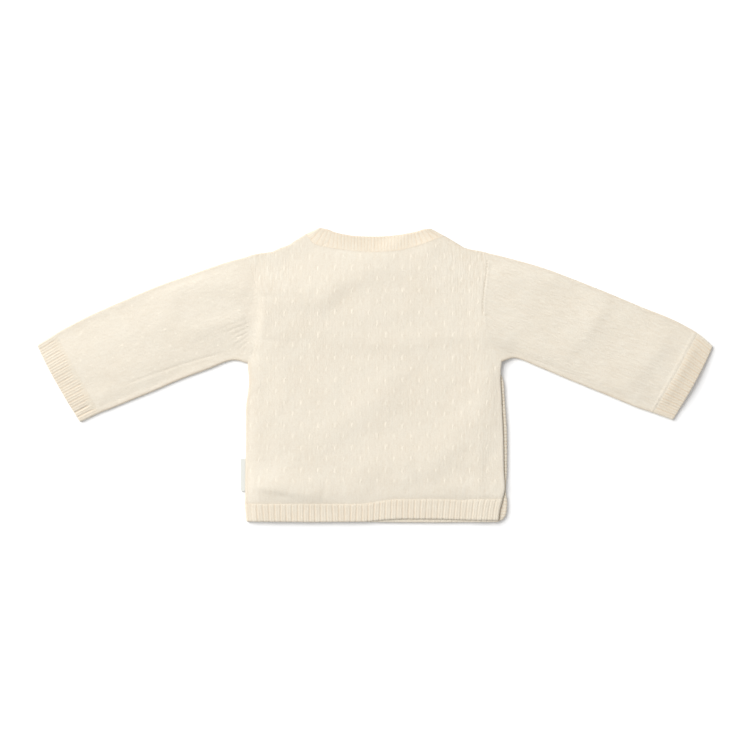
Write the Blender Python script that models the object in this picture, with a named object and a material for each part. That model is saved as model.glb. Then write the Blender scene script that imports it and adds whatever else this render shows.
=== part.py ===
"""A crossover baby cardigan in fine cotton knit, laid flat on its front with its back upwards.

Every piece that is knitted or cut on its own is one closed wall with its own name. The pieces lie
on each other: the outer front on the ground, the inner front on it, the back on both. A panel is a
grid between its four edges, with a lower and an upper face over each grid point. A sleeve or cuff
is a ring carried along its stations. Lengths in this file are millimetres, and MM makes metres of
them. X runs to the wearer's right, Y to the neck, Z up, from the middle of the garment's footprint.
"""

import bpy
import numpy as np

MM = 0.001

# ---------------------------------------------------------------- driving dimensions
CLOTH = 1.6  # wall of the plain knit
GAP = 0.3  # between pieces, at a seam or where one lies on another
LAYER = CLOTH + GAP
FOLD_REACH = 1.75  # how far in from a folded edge its rounding runs
FOLD_DROP = 1.35  # how far that rounding has gone down, or up, at the edge itself
FOLD_STEPS = (0.0, 0.4, 1.0, FOLD_REACH)  # where the rounding is sampled

BAND_THICK = 2.6  # the doubled front band down the side, where the buttons are
RIB_HIGH = 0.6  # height of a hem or cuff rib over its wall
RIB_PITCH = 5.4  # hem
CUFF_RIBS = 16  # across the upper half of a cuff
CUFF_BOW = 1.7  # how far the end of a cuff bulges past a straight line
BAND_PITCH = 3.1  # neck band and front band
BAND_RIB_HIGH = 0.45
BAND_SCALLOP = 0.3  # how far each band rib stands out of the free edge
BAND_SHOWS_Y = 4.0  # below this height the outer band comes out past the back, and is ribbed
BAND_PLAIN_STEPS = 14  # along a plain stretch of a front band

COVER_HOLD = 8.0  # a layer stays up this far past the edge below it
COVER_FALL = 14.0  # and comes down over this length
TUCK = 10.5  # the back has come down this far past the inner band's upright edge
TUCK_FALL = 8.5  # over this width
SIDE_RISE = (84.0, 18.0)  # where the inner front climbs on to the thicker outer band, over this width
LOFT = 0.9  # air that lifts the back and the sleeves between their edges
SLEEVE_PUFF = 1.1
EDGE_EASE = 11.0  # width over which loft and folds die out at an edge
HEM_EASE = 7.0
SHARP_ANGLE = 50.0  # degrees, above which an edge is drawn sharp

SAMPLES = 300  # points that a table's curve is measured from
LEAST_EDGE = 10.0  # first grid step in from a folded edge, past its rounding
NECK_COLUMNS = 16  # stretches of the neck seam
ARM_ROWS = 10  # rows of every panel and sleeve between armpit and shoulder
FRONT_COLUMNS = 10  # across a front
HEM_COLUMNS = 20  # across a front's hem
BODY_ROWS = 10  # rows between the hem and the armpits

HEM_SEAM_Y = -116.7
BODY_HEIGHT = 228.0  # from the hem seam to the shoulders
ARMPIT_SHARE = 0.565  # of that height, up to the armpits
BUTTON_RADIUS = 5.5
BUTTON_THICK = 1.3
BUTTON_CLEAR = 0.4
BUTTON_SIDES = 20
BUTTON_RIM = 0.35  # how far its rims are rounded
BUTTON_Y = (-18.0, -62.0, -105.0)
LABEL_Y = (-108.0, -77.8)
LABEL_OUT = 4.8
LABEL_SLANT = 0.8  # how much less it stands out at its lower end
LABEL_THICK = 1.0

KNIT = (0.86, 0.79, 0.68)
RIB = (0.82, 0.74, 0.62)
WHITE = (0.90, 0.90, 0.88)
SHELL = (0.84, 0.78, 0.66)

# ---------------------------------------------------------------- tables
# Body sides, from the hem up to the armpits: height, left edge, right edge.
SIDES = np.array([
    (-137.0, -119.3, 114.4),
    (-125.6, -120.4, 116.2),
    (-116.7, -120.8, 118.6),
    (-105.0, -120.6, 120.6),
    (-88.0, -120.4, 119.7),
    (-56.0, -120.0, 119.1),
    (-28.8, -119.8, 117.8),
    (-17.7, -118.2, 117.4),
    (-4.7, -117.2, 116.6),
    (4.7, -118.0, 116.9),
    (12.0, -118.4, 117.6),
])

# Hem, from left to right: place, bottom of the back, bottom of the fronts.
HEM = np.array([
    (-122.0, -135.8, -135.4),
    (-60.0, -136.4, -135.9),
    (0.0, -136.2, -136.2),
    (35.0, -135.2, -136.7),
    (75.0, -133.6, -136.7),
    (124.0, -133.0, -136.2),
])

# Armholes: shoulder point, armpit, how far the seam bows into the body, where the bow is deepest.
ARMHOLES = {
    "left": {"shoulder": (-119.0, 109.9), "armpit": (-118.4, 11.0), "bow": 10.0, "skew": 1.0},
    "right": {"shoulder": (104.0, 113.6), "armpit": (117.6, 12.3), "bow": -11.5, "skew": 1.4},
}

# Outline of the shoulders, from the neck out to the shoulder point: place, height.
SHOULDER_LEFT = np.array([
    (-119.0, 109.9), (-110.7, 112.5), (-95.8, 114.6), (-88.4, 118.0), (-80.9, 120.6),
    (-73.5, 125.4), (-64.2, 131.1),
])
SHOULDER_RIGHT = np.array([
    (64.2, 129.3), (67.9, 127.4), (75.3, 122.8), (82.8, 118.3), (90.2, 116.4),
    (97.7, 115.2), (104.0, 113.6),
])

# Neck band, from left to right: free edge x and y, seam edge x and y.
NECK_BAND = np.array([
    (-52.1, 136.7, -64.2, 131.1),
    (-43.7, 134.9, -57.6, 123.0),
    (-36.3, 132.1, -47.4, 119.4),
    (-21.4, 129.3, -27.9, 116.3),
    (-6.5, 128.6, -8.0, 114.6),
    (8.4, 128.8, 8.0, 114.7),
    (23.3, 130.2, 24.0, 116.3),
    (38.1, 133.0, 40.0, 120.6),
    (45.6, 135.3, 52.0, 124.8),
    (52.1, 135.9, 64.2, 129.3),
])

# Front bands, from the neck point to the hem: free edge x and y, seam edge x and y, thickness.
OUTER_BAND = np.array([
    (-52.1, 136.7, -64.2, 131.1, CLOTH),
    (-30.0, 119.1, -39.5, 108.3, CLOTH),
    (20.0, 79.3, 11.0, 68.0, CLOTH),
    (70.0, 39.5, 61.0, 28.2, CLOTH),
    (100.0, 15.6, 91.5, 4.8, 1.8),
    (111.9, 6.0, 101.6, -3.0, 2.1),
    (117.7, -1.4, 104.4, -7.2, 2.5),
    (119.6, -10.0, 105.2, -12.5, BAND_THICK),
    (120.4, -24.0, 106.0, -24.5, BAND_THICK),
    (122.2, -51.0, 107.8, -51.0, BAND_THICK),
    (122.3, -88.0, 107.9, -88.0, BAND_THICK),
    (121.2, -106.5, 107.6, -106.0, BAND_THICK),
    (122.6, -118.0, 107.9, -117.0, BAND_THICK),
    (121.4, -129.5, 107.7, -129.0, BAND_THICK),
    (118.0, -134.9, 107.4, -136.2, 2.2),
])
INNER_BAND = np.array([
    (52.1, 135.9, 64.2, 129.3, CLOTH),
    (30.0, 117.3, 39.6, 106.4, CLOTH),
    (-20.0, 75.3, -10.7, 64.3, CLOTH),
    (-70.0, 33.3, -60.7, 22.3, CLOTH),
    (-95.0, 12.2, -85.4, 1.6, CLOTH),
    (-104.2, 2.6, -91.6, -5.4, CLOTH),
    (-107.6, -8.0, -93.3, -10.6, CLOTH),
    (-108.0, -22.0, -93.6, -22.2, CLOTH),
    (-108.0, -76.0, -93.6, -76.0, CLOTH),
    (-108.0, -135.4, -93.6, -135.4, CLOTH),
])

# Sleeves, from the armhole to the end of the cuff: upper edge x and y, lower edge x and y.
SLEEVE_LEFT = np.array([
    (-119.0, 109.9, -118.4, 11.0),
    (-140.4, 104.0, -133.5, 13.6),
    (-170.2, 93.7, -155.3, 5.4),
    (-200.0, 83.3, -181.0, -4.2),
    (-229.7, 70.9, -207.4, -15.6),
    (-259.5, 57.9, -231.0, -25.2),
    (-281.0, 47.2, -246.0, -31.4),
    (-296.4, 38.7, -256.0, -35.2),
    (-313.4, 28.2, -273.6, -43.6),
])
SLEEVE_RIGHT = np.array([
    (104.0, 113.6, 117.6, 12.3),
    (128.0, 107.6, 131.0, 15.6),
    (158.0, 98.9, 152.0, 7.6),
    (188.0, 87.6, 178.0, -3.3),
    (218.0, 75.6, 203.0, -13.5),
    (247.0, 63.4, 226.0, -22.9),
    (276.0, 51.8, 244.0, -30.3),
    (299.4, 39.0, 258.2, -35.0),
    (313.4, 27.2, 276.2, -41.6),
])
CUFF_ROW = 7  # the row of both tables where the cuff is joined on

# Largest folds: half width, height, and the course of the crest.
BACK_FOLDS = (
    ("under_the_yoke", 11.0, 1.1, ((-88.0, 58.0), (-46.0, 85.0), (-20.0, 97.0), (34.0, 95.0))),
    ("across_the_chest", 11.0, 0.8, ((-28.0, 33.0), (40.0, 37.0), (88.0, 36.0))),
    ("middle", 12.0, 1.3, ((-27.0, -51.0), (1.0, -25.0), (13.0, 5.0))),
    ("sweep_to_the_side", 14.0, 1.4, ((-12.0, -88.0), (37.0, -75.0), (74.0, -51.0), (88.0, -18.0))),
    ("along_the_right_side", 7.0, 0.8, ((107.0, -50.0), (108.0, -104.0))),
    ("blouse_left", 8.0, 1.9, ((-112.0, -101.0), (-58.0, -103.0))),
    ("blouse_right", 6.0, 0.9, ((-48.0, -107.0), (96.0, -107.0))),
)
SLEEVE_FOLDS = (
    ("left_head", 8.0, -0.7, ((-192.0, 69.0), (-161.0, 84.0), (-128.0, 84.0))),
    ("left_elbow", 12.0, 0.8, ((-205.0, 55.0), (-178.0, 22.0))),
    ("left_wrist", 12.0, 0.6, ((-262.0, 30.0), (-232.0, -6.0))),
    ("right_head", 8.0, -0.7, ((112.0, 77.0), (168.0, 76.0))),
    ("right_elbow", 10.0, 0.9, ((206.0, 58.0), (184.0, 33.0))),
    ("right_wrist", 11.0, 1.2, ((254.0, 23.0), (219.0, -6.0))),
)


# ---------------------------------------------------------------- shape helpers
def smooth(t):
    """0 below 0, 1 above 1, with level ends between."""
    t = np.clip(t, 0.0, 1.0)
    return t * t * (3.0 - 2.0 * t)


def along(table, t):
    """Rows of a table at places t, 0 at its first row and 1 at its last, on a smooth curve."""
    rows = len(table) - 1
    place = np.clip(np.asarray(t, float), 0.0, 1.0) * rows
    k = np.minimum(place.astype(int), rows - 1)
    f = (place - k)[:, None]
    slope = np.gradient(table, axis=0)
    p, q = table[k], table[k + 1]
    a, b = slope[k], slope[k + 1]
    f2, f3 = f * f, f * f * f
    return (2 * f3 - 3 * f2 + 1) * p + (f3 - 2 * f2 + f) * a + (3 * f2 - 2 * f3) * q + (f3 - f2) * b


def by_length(points):
    """Running length along a chain of points, from 0 to 1."""
    step = np.linalg.norm(np.diff(points[:, :2], axis=0), axis=1)
    run = np.concatenate([[0.0], np.cumsum(step)])
    return run / run[-1], run[-1]


def resample(points, t):
    """Points at places t of a chain, by its length."""
    run, _ = by_length(points)
    return np.stack([np.interp(t, run, column) for column in points.T], axis=1)


def rounding(d):
    """How far a folded edge's face has turned towards the fold, at a distance d in from the edge."""
    r = np.clip(1.0 - np.asarray(d, float) / FOLD_REACH, 0.0, 1.0)
    return FOLD_DROP * (1.0 - np.sqrt(1.0 - r * r))


def near_fold(x, y, folds):
    """Sum of the folds: each is a soft ridge round its course, lower towards its two ends."""
    total = np.zeros_like(x)
    for _, half, height, course in folds:
        best = np.full_like(x, np.inf)
        share = np.zeros_like(x)
        parts = len(course) - 1
        for k in range(parts):
            (x0, y0), (x1, y1) = course[k], course[k + 1]
            dx, dy = x1 - x0, y1 - y0
            t = np.clip(((x - x0) * dx + (y - y0) * dy) / (dx * dx + dy * dy), 0.0, 1.0)
            away = np.hypot(x - x0 - t * dx, y - y0 - t * dy)
            share = np.where(away < best, (k + t) / parts, share)
            best = np.minimum(best, away)
        ends = 1.0 - 0.6 * (2.0 * share - 1.0) ** 4
        total += height * ends * np.exp(-((best / half) ** 2))
    return total


def past_edge(band, side, x, y):
    """Distance past a front's slanting free edge, above 0 on the side where that front is missing."""
    (x0, y0), (x1, y1) = band[0, :2], band[3, :2]
    length = np.hypot(x1 - x0, y1 - y0)
    return side * ((x - x0) * (y0 - y1) + (y - y0) * (x1 - x0)) / length


def outer_cover(x, y):
    """1 over the outer front, 0 clear of it."""
    return 1.0 - smooth((past_edge(OUTER_BAND, 1.0, x, y) - COVER_HOLD) / COVER_FALL)


def inner_cover(x, y):
    """1 over the inner front, 0 clear of it."""
    slant = 1.0 - smooth((past_edge(INNER_BAND, -1.0, x, y) - COVER_HOLD) / COVER_FALL)
    upright = np.clip((x - INNER_BAND[-1, 0] + TUCK) / TUCK_FALL, 0.0, 1.0)
    return slant * upright


def inner_floor(x, y):
    """Height that the inner front lies at: on the outer front, or on the ground past its edge."""
    side = smooth((x - SIDE_RISE[0]) / SIDE_RISE[1])
    return outer_cover(x, y) * (LAYER + side * (BAND_THICK - CLOTH))


def back_floor(x, y):
    """Height that the back lies at, over both fronts, one of them or none."""
    over_inner = inner_floor(x, y) + LAYER
    over_outer = outer_cover(x, y) * LAYER
    share = inner_cover(x, y)
    return share * over_inner + (1.0 - share) * over_outer


def armhole(side, w, shift=0.0):
    """Points of an armhole seam, from the shoulder at w = 0 to the armpit at w = 1."""
    hole = ARMHOLES[side]
    top, low = np.array(hole["shoulder"]), np.array(hole["armpit"])
    w = np.asarray(w, float)
    points = top + (low - top) * w[:, None]
    points[:, 0] += hole["bow"] * np.sin(np.pi * w ** hole["skew"]) + shift
    return points


def side_edge(side, y):
    """Points of a side of the body at heights y."""
    column = 1 if side == "left" else 2
    return np.stack([np.interp(y, SIDES[:, 0], SIDES[:, column]), y], axis=1)


def coons(left, right, bottom, top, u, v):
    """Grid of points between four edges that share their corners."""
    u, v = u[:, None, None], v[None, :, None]
    ruled_u = (1 - u) * left[None] + u * right[None]
    ruled_v = (1 - v) * bottom[:, None] + v * top[:, None]
    corners = (
        (1 - u) * (1 - v) * left[0]
        + u * (1 - v) * right[0]
        + (1 - u) * v * left[-1]
        + u * v * right[-1]
    )
    return ruled_u + ruled_v - corners


# ---------------------------------------------------------------- mesh helpers
def halves(quads, height):
    """Each quad as two triangles, cut from corner to corner along the line that is nearer level."""
    a, b, c, d = quads.T
    first = (np.abs(height[a] - height[c]) <= np.abs(height[b] - height[d]))[:, None]
    one = np.where(first, np.stack([a, b, c], axis=1), np.stack([a, b, d], axis=1))
    two = np.where(first, np.stack([a, c, d], axis=1), np.stack([b, c, d], axis=1))
    return np.concatenate([one, two])


def material_of(name, colour, roughness):
    """A piece's own material."""
    material = bpy.data.materials.new(name)
    material.use_nodes = True
    shader = material.node_tree.nodes["Principled BSDF"]
    shader.inputs["Base Color"].default_value = (*colour, 1.0)
    shader.inputs["Roughness"].default_value = roughness
    shader.inputs["Metallic"].default_value = 0.0
    return material


def finish(name, points, faces, colour, roughness):
    """One mesh object in world place, its faces turned outwards, with its own material."""
    a, b, c = (points[faces[:, k]] for k in range(3))
    if np.einsum("ij,ij->", a, np.cross(b, c)) < 0:
        faces = faces[:, ::-1]
    mesh = bpy.data.meshes.new(name)
    mesh.from_pydata((points * MM).tolist(), [], faces.tolist())
    mesh.shade_smooth()
    mesh.set_sharp_from_angle(angle=np.radians(SHARP_ANGLE))
    mesh.materials.append(material_of(name, colour, roughness))
    thing = bpy.data.objects.new(name, mesh)
    bpy.context.scene.collection.objects.link(thing)
    return thing


def wall(name, xy, lower, upper, colour=KNIT, roughness=0.9):
    """A closed wall: an upper and a lower face over the same grid, and the edges between them."""
    rows, columns = xy.shape[:2]
    count = rows * columns
    upper_points = np.concatenate([xy, upper[..., None]], axis=2).reshape(-1, 3)
    lower_points = np.concatenate([xy, lower[..., None]], axis=2).reshape(-1, 3)
    i, j = np.arange(rows), np.arange(columns)
    loop = np.concatenate([
        i[:-1] * columns,
        (rows - 1) * columns + j[:-1],
        i[:0:-1] * columns + columns - 1,
        j[:0:-1],
    ])
    after = np.roll(loop, -1)
    i, j = np.mgrid[0 : rows - 1, 0 : columns - 1]
    a = (i * columns + j).ravel()
    face = halves(np.stack([a, a + columns, a + columns + 1, a + 1], axis=1), upper_points[:, 2])
    faces = np.concatenate([
        face,
        face[:, ::-1] + count,
        np.stack([loop, loop + count, after + count], axis=1),
        np.stack([loop, after + count, after], axis=1),
    ])
    return finish(name, np.concatenate([upper_points, lower_points]), faces, colour, roughness)


def tube(name, outer, inner, colour=KNIT, roughness=0.9):
    """A closed wall round a ring that is carried along its stations, open at both ends."""
    stations, around = outer.shape[:2]
    count = stations * around
    s, a = np.mgrid[0 : stations - 1, 0:around]
    s, a = s.ravel(), a.ravel()
    after = (a + 1) % around
    side = np.stack([s * around + a, (s + 1) * around + a, (s + 1) * around + after,
                     s * around + after], axis=1)
    a = np.arange(around)
    after = (a + 1) % around
    last = (stations - 1) * around
    first_end = np.stack([a, after, after + count, a + count], axis=1)
    last_end = np.stack([last + after, last + a, last + a + count, last + after + count], axis=1)
    points = np.concatenate([outer.reshape(-1, 3), inner.reshape(-1, 3)])
    side = halves(side, points[:, 2])
    ends = np.concatenate([first_end, last_end])
    faces = np.concatenate([side, side[:, ::-1] + count, ends[:, [0, 1, 2]], ends[:, [0, 2, 3]]])
    return finish(name, points, faces, colour, roughness)


# ---------------------------------------------------------------- panels
def body_rows(near_hem):
    """Places of a panel's rows, from 0 at the hem to 1 at the shoulder; near_hem adds some there."""
    low = np.linspace(HEM_EASE / BODY_HEIGHT, ARMPIT_SHARE, BODY_ROWS + 1)
    top = 1.0 - np.array(FOLD_STEPS[::-1]) / BODY_HEIGHT
    high = ARMPIT_SHARE + (top[0] - ARMPIT_SHARE) * np.linspace(0, 1, ARM_ROWS + 1)
    return np.concatenate([[0.0], np.array(near_hem) / BODY_HEIGHT, low, high[1:], top[1:]])


def outer_edge(side, v, shift):
    """A panel's edge at rows v: the side seam up to the armpit, then the armhole."""
    low = v <= ARMPIT_SHARE
    start, pit = HEM_SEAM_Y + GAP / 2, ARMHOLES[side]["armpit"][1]
    w = (1.0 - v[~low]) / (1.0 - ARMPIT_SHARE)
    seam = side_edge(side, start + (pit - start) * v[low] / ARMPIT_SHARE)
    return np.concatenate([seam, armhole(side, w, shift)])


def folded(distance, applies):
    """Rounding where the edge is a fold, nothing where it is a seam in the flat."""
    return np.where(applies, rounding(distance), 0.0)


def neck_seam():
    """The neck seam as the back's own straight stretches, so that the neck band fits them."""
    seam = along(NECK_BAND, np.linspace(0, 1, SAMPLES))[:, 2:4]
    return resample(seam, np.linspace(0, 1, NECK_COLUMNS + 1))


def make_back():
    """The back: its sides and armholes, and a top edge of two shoulders with the neck between."""
    v = body_rows([0.45 * HEM_EASE])
    left = outer_edge("left", v, GAP / 2)
    right = outer_edge("right", v, -GAP / 2)
    neck = neck_seam()
    neck[1:-1, 1] -= GAP
    width = right[-1, 0] - left[-1, 0]
    steps = np.array(FOLD_STEPS) / width
    first = (neck[0, 0] - left[-1, 0]) / width
    last = (neck[-1, 0] - left[-1, 0]) / width
    near = LEAST_EDGE / width
    u = np.concatenate([
        steps,
        np.linspace(near, first, 4),
        (neck[1:, 0] - left[-1, 0]) / width,
        np.linspace(last, 1 - near, 4)[1:],
        1 - steps[::-1],
    ])
    x_top = left[-1, 0] + u * width
    outline = np.concatenate([SHOULDER_LEFT[:-1], neck, SHOULDER_RIGHT[1:]])
    top = np.stack([x_top, np.interp(x_top, outline[:, 0], outline[:, 1])], axis=1)
    top[0], top[-1] = left[-1], right[-1]
    bottom = left[0] + (right[0] - left[0]) * u[:, None]
    xy = coons(left, right, bottom, top, u, v)
    x, y = xy[..., 0], xy[..., 1]
    from_side = np.minimum(u, 1 - u)[:, None] * width * np.ones_like(x)
    from_top = ((1 - v) * BODY_HEIGHT)[None] * np.ones_like(x)
    ease = smooth(from_side / EDGE_EASE) * smooth(from_top / EDGE_EASE)
    ease = ease * smooth((y - HEM_SEAM_Y) / HEM_EASE)
    air = ease * (LOFT + near_fold(x, y, BACK_FOLDS))
    lower = back_floor(x, y) + np.maximum(air, 0.0)
    on_shoulder = ((x_top <= neck[0, 0]) | (x_top >= neck[-1, 0]))[:, None]
    turned = np.maximum(folded(from_side, (v <= ARMPIT_SHARE)[None]), folded(from_top, on_shoulder))
    wall("back", xy, lower, lower + CLOTH - turned)


def make_front(name, side, band, flat_floor):
    """A front panel: its own side and armhole, the shoulder, and the seam of its front band."""
    v = body_rows([])
    shift = GAP / 2 if side == "left" else -GAP / 2
    outside = outer_edge(side, v, shift)
    shoulder = SHOULDER_LEFT if side == "left" else SHOULDER_RIGHT[::-1]
    seam = along(band, np.linspace(0, 1, SAMPLES))[:, 2:4]
    inward = np.stack([np.gradient(seam[:, 1]), -np.gradient(seam[:, 0])], axis=1)
    inward /= np.linalg.norm(inward, axis=1)[:, None]
    inward *= GAP if side == "left" else -GAP
    seam = seam + inward
    neck_side = shoulder[-2] - shoulder[-1]
    seam[0] = shoulder[-1] + neck_side * 2 * GAP / np.linalg.norm(neck_side)
    keep = seam[:, 1] >= HEM_SEAM_Y + GAP / 2
    seam = np.concatenate([seam[keep], [[seam[keep][-1, 0], HEM_SEAM_Y + GAP / 2]]])
    inside = resample(seam, 1 - v)
    steps = np.array(FOLD_STEPS) / abs(outside[0, 0] - inside[0, 0])
    u = np.concatenate([steps, np.linspace(steps[-1], 1, FRONT_COLUMNS + 1)[1:]])
    top = resample(np.concatenate([shoulder[:-1], seam[:1]]), u)
    top[0] = outside[-1]
    bottom = outside[0] + (inside[0] - outside[0]) * u[:, None]
    xy = coons(outside, inside, bottom, top, u, v)
    x, y = xy[..., 0], xy[..., 1]
    from_side = np.abs(x - outside[None, :, 0])
    from_top = ((1 - v) * BODY_HEIGHT)[None] * np.ones_like(x)
    turned = np.maximum(folded(from_side, (v <= ARMPIT_SHARE)[None]), rounding(from_top))
    floor = np.zeros_like(x) if flat_floor else inner_floor(x, y)
    wall(name, xy, floor + turned, floor + CLOTH)


# ---------------------------------------------------------------- ribs, bands and small pieces
def make_back_hem():
    """The back's hem rib: ribs run down it, each a peak between two valleys on its outer face."""
    y_line = HEM_SEAM_Y - GAP / 2
    start = side_edge("left", np.array([y_line]))[0, 0]
    end = side_edge("right", np.array([y_line]))[0, 0]
    u = np.linspace(0, 1, 2 * int(round((end - start) / RIB_PITCH)) + 1)
    rows = np.array([0.0, 0.2, 0.75, 1.0])
    bottom = np.interp(start + (end - start) * u, HEM[:, 0], HEM[:, 1])
    y = y_line + (bottom - y_line)[:, None] * rows[None]
    left, right = side_edge("left", y[0])[:, 0], side_edge("right", y[-1])[:, 0]
    x = left[None] * (1 - u)[:, None] + right[None] * u[:, None]
    xy = np.stack([x, y], axis=2)
    lower = back_floor(x, y)
    raised = (np.arange(len(u)) % 2)[:, None] * RIB_HIGH * np.array([0.35, 1.0, 1.0, 0.7])[None]
    from_side = np.minimum(x - left[None], right[None] - x)
    wall("back_hem_rib", xy, lower, lower + CLOTH + raised - rounding(from_side), RIB)


def make_front_hem(name, side, band, flat_floor):
    """A front's hem rib, from its side seam to its front band, plain because it is out of sight."""
    y_line = HEM_SEAM_Y - GAP / 2
    seam = along(band, np.linspace(0, 1, SAMPLES))[:, 2:4]
    rows = np.array([0.0, 0.5, 1.0])
    outside_x = side_edge(side, np.array([y_line]))[0, 0]
    inward = 1.0 if side == "left" else -1.0
    y_ends = y_line + (HEM[0, 2] - y_line) * rows
    inside_x = np.interp(y_ends, seam[::-1, 1], seam[::-1, 0]) - inward * GAP
    steps = np.array(FOLD_STEPS) / abs(inside_x[0] - outside_x)
    u = np.concatenate([steps, np.linspace(steps[-1], 1, HEM_COLUMNS + 1)[1:]])
    x_guess = outside_x + (inside_x[0] - outside_x) * u
    bottom = np.interp(x_guess, HEM[:, 0], HEM[:, 2])
    y = y_line + (bottom - y_line)[:, None] * rows[None]
    outside = side_edge(side, y[0])[:, 0]
    x = outside[None] + (inside_x - outside)[None] * u[:, None]
    xy = np.stack([x, y], axis=2)
    floor = np.zeros_like(x) if flat_floor else inner_floor(x, y)
    turned = rounding(np.abs(x - outside[None]))
    wall(name, xy, floor + turned, floor + CLOTH, RIB)


def make_neck_band():
    """The neck band across the back, folded over the shoulder line at both ends."""
    free = along(NECK_BAND, np.linspace(0, 1, SAMPLES))[:, 0:2]
    seam = neck_seam()
    _, length = by_length(free)
    ribs = int(round(length / BAND_PITCH))
    body = np.linspace(0, 1, 2 * ribs + 1)
    edge = FOLD_REACH / length
    t = np.unique(np.concatenate([[0.0, 0.4 * edge], body[1:-1], [1 - 0.4 * edge, 1.0]]))
    peak = np.interp(t, body, np.arange(len(body)) % 2)
    across = np.array([0.0, 0.12, 0.55, 0.9, 1.0])
    lift = np.array([0.2, 0.9, 1.0, 1.0, 0.5]) * BAND_RIB_HIGH
    inner, outer = resample(seam, t), resample(free, t)
    xy = inner[:, None] + (outer - inner)[:, None] * across[None, :, None]
    x, y = xy[..., 0], xy[..., 1]
    lower = back_floor(x, y)
    from_end = (np.minimum(t, 1 - t) * length)[:, None] * np.ones_like(x)
    upper = lower + CLOTH + peak[:, None] * lift[None] - rounding(from_end)
    wall("neck_band", xy, lower, upper, RIB)


def make_front_band(name, band, flat_floor, ribbed):
    """A front band from the neck point down to the hem, on the ground or on the outer front."""
    dense = along(band, np.linspace(0, 1, SAMPLES))
    run, length = by_length(dense)
    start = np.array(FOLD_STEPS) / length
    if ribbed:
        turn = run[np.argmin(np.abs(dense[:, 1] - BAND_SHOWS_Y))]
        ribs = int(round((1 - turn) * length / BAND_PITCH))
        down = np.linspace(turn, 1, 2 * ribs + 1)
        t = np.concatenate([start, np.linspace(start[-1], turn, BAND_PLAIN_STEPS)[1:-1], down])
        peak = np.concatenate([np.zeros(len(t) - len(down)), np.arange(len(down)) % 2])
    else:
        t = np.concatenate([start, np.linspace(start[-1], 1, 2 * BAND_PLAIN_STEPS)[1:]])
        peak = np.zeros(len(t))
    rows = resample(dense, t)
    free, seam, thick = rows[:, 0:2], rows[:, 2:4], rows[:, 4]
    reach = np.linalg.norm(free - seam, axis=1)
    if ribbed:
        from_free = np.array([0.0, 1.3, 3.6])
        lift = np.array([0.6, 1.0, 0.0, 0.0]) * BAND_RIB_HIGH
    else:
        from_free = np.array([0.0])
        lift = np.zeros(2)
    share = np.concatenate([1 - from_free[None] / reach[:, None], np.zeros((len(t), 1))], axis=1)
    out = (free - seam) / reach[:, None]
    xy = seam[:, None] + (free - seam)[:, None] * share[..., None]
    xy[:, 0] += out * (peak * BAND_SCALLOP)[:, None]
    x, y = xy[..., 0], xy[..., 1]
    floor = np.zeros_like(x) if flat_floor else inner_floor(x, y)
    turned = rounding((t * length)[:, None] * np.ones_like(x))
    upper = floor + thick[:, None] + peak[:, None] * lift[None]
    return wall(name, xy, floor + turned, upper, RIB)


def button_centres():
    """Middle of the front band's upright stretch at each button's height."""
    rows = along(OUTER_BAND, np.linspace(0, 1, SAMPLES))[::-1]
    x = np.interp(BUTTON_Y, rows[:, 1], (rows[:, 0] + rows[:, 2]) / 2)
    return list(zip(x, BUTTON_Y))


def disc(name, radius, low, high, soft, centre):
    """A round plate as rings of points, its two rims rounded by soft."""
    sides = BUTTON_SIDES
    turn = 2 * np.pi * (np.arange(sides) + 0.5) / sides
    rings = [(radius - soft, low), (radius, low + soft), (radius, high - soft), (radius - soft, high)]
    points = [(centre[0] + r * np.cos(a), centre[1] + r * np.sin(a), z) for r, z in rings for a in turn]
    faces = [list(range(sides))[::-1]]
    for k in range(len(rings) - 1):
        for a in range(sides):
            b = (a + 1) % sides
            faces.append([k * sides + a, k * sides + b, (k + 1) * sides + b, (k + 1) * sides + a])
    faces.append([(len(rings) - 1) * sides + a for a in range(sides)])
    mesh = bpy.data.meshes.new(name)
    mesh.from_pydata((np.array(points) * MM).tolist(), [], faces)
    thing = bpy.data.objects.new(name, mesh)
    bpy.context.scene.collection.objects.link(thing)
    return thing


def make_buttons(band):
    """Three flat buttons under the band, each pressed up into the cloth so that all lies flat."""
    for number, centre in enumerate(button_centres(), 1):
        hollow = disc(f"button_hollow_{number}", BUTTON_RADIUS + BUTTON_CLEAR, -CLOTH,
                      BUTTON_THICK + GAP, BUTTON_RIM, centre)
        hollow.hide_render = True
        hollow.display_type = "WIRE"
        cut = band.modifiers.new(f"hollow_{number}", "BOOLEAN")
        cut.operation = "DIFFERENCE"
        cut.object = hollow
        button = disc(f"button_{number}", BUTTON_RADIUS, 0.0, BUTTON_THICK, BUTTON_RIM, centre)
        button.data.materials.append(material_of(f"button_{number}", SHELL, 0.3))


def make_label():
    """A small folded tape that stands out of the left side seam."""
    y = np.linspace(LABEL_Y[0], LABEL_Y[1], 5)
    out = np.array([0.0, 0.5, 1.0])
    root = side_edge("left", y)[:, 0] - GAP
    slant = LABEL_SLANT * (y[-1] - y) / (y[-1] - y[0])
    x = root[None] - out[:, None] * (LABEL_OUT - slant)[None]
    xy = np.stack([x, np.broadcast_to(y, x.shape)], axis=2)
    middle = CLOTH + GAP / 2 - 0.5 * out[:, None] ** 2 * np.ones_like(x)
    half = LABEL_THICK / 2 * np.array([1.0, 1.0, 0.6])[:, None]
    wall("side_label", xy, middle - half, middle + half, WHITE, 0.8)


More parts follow.
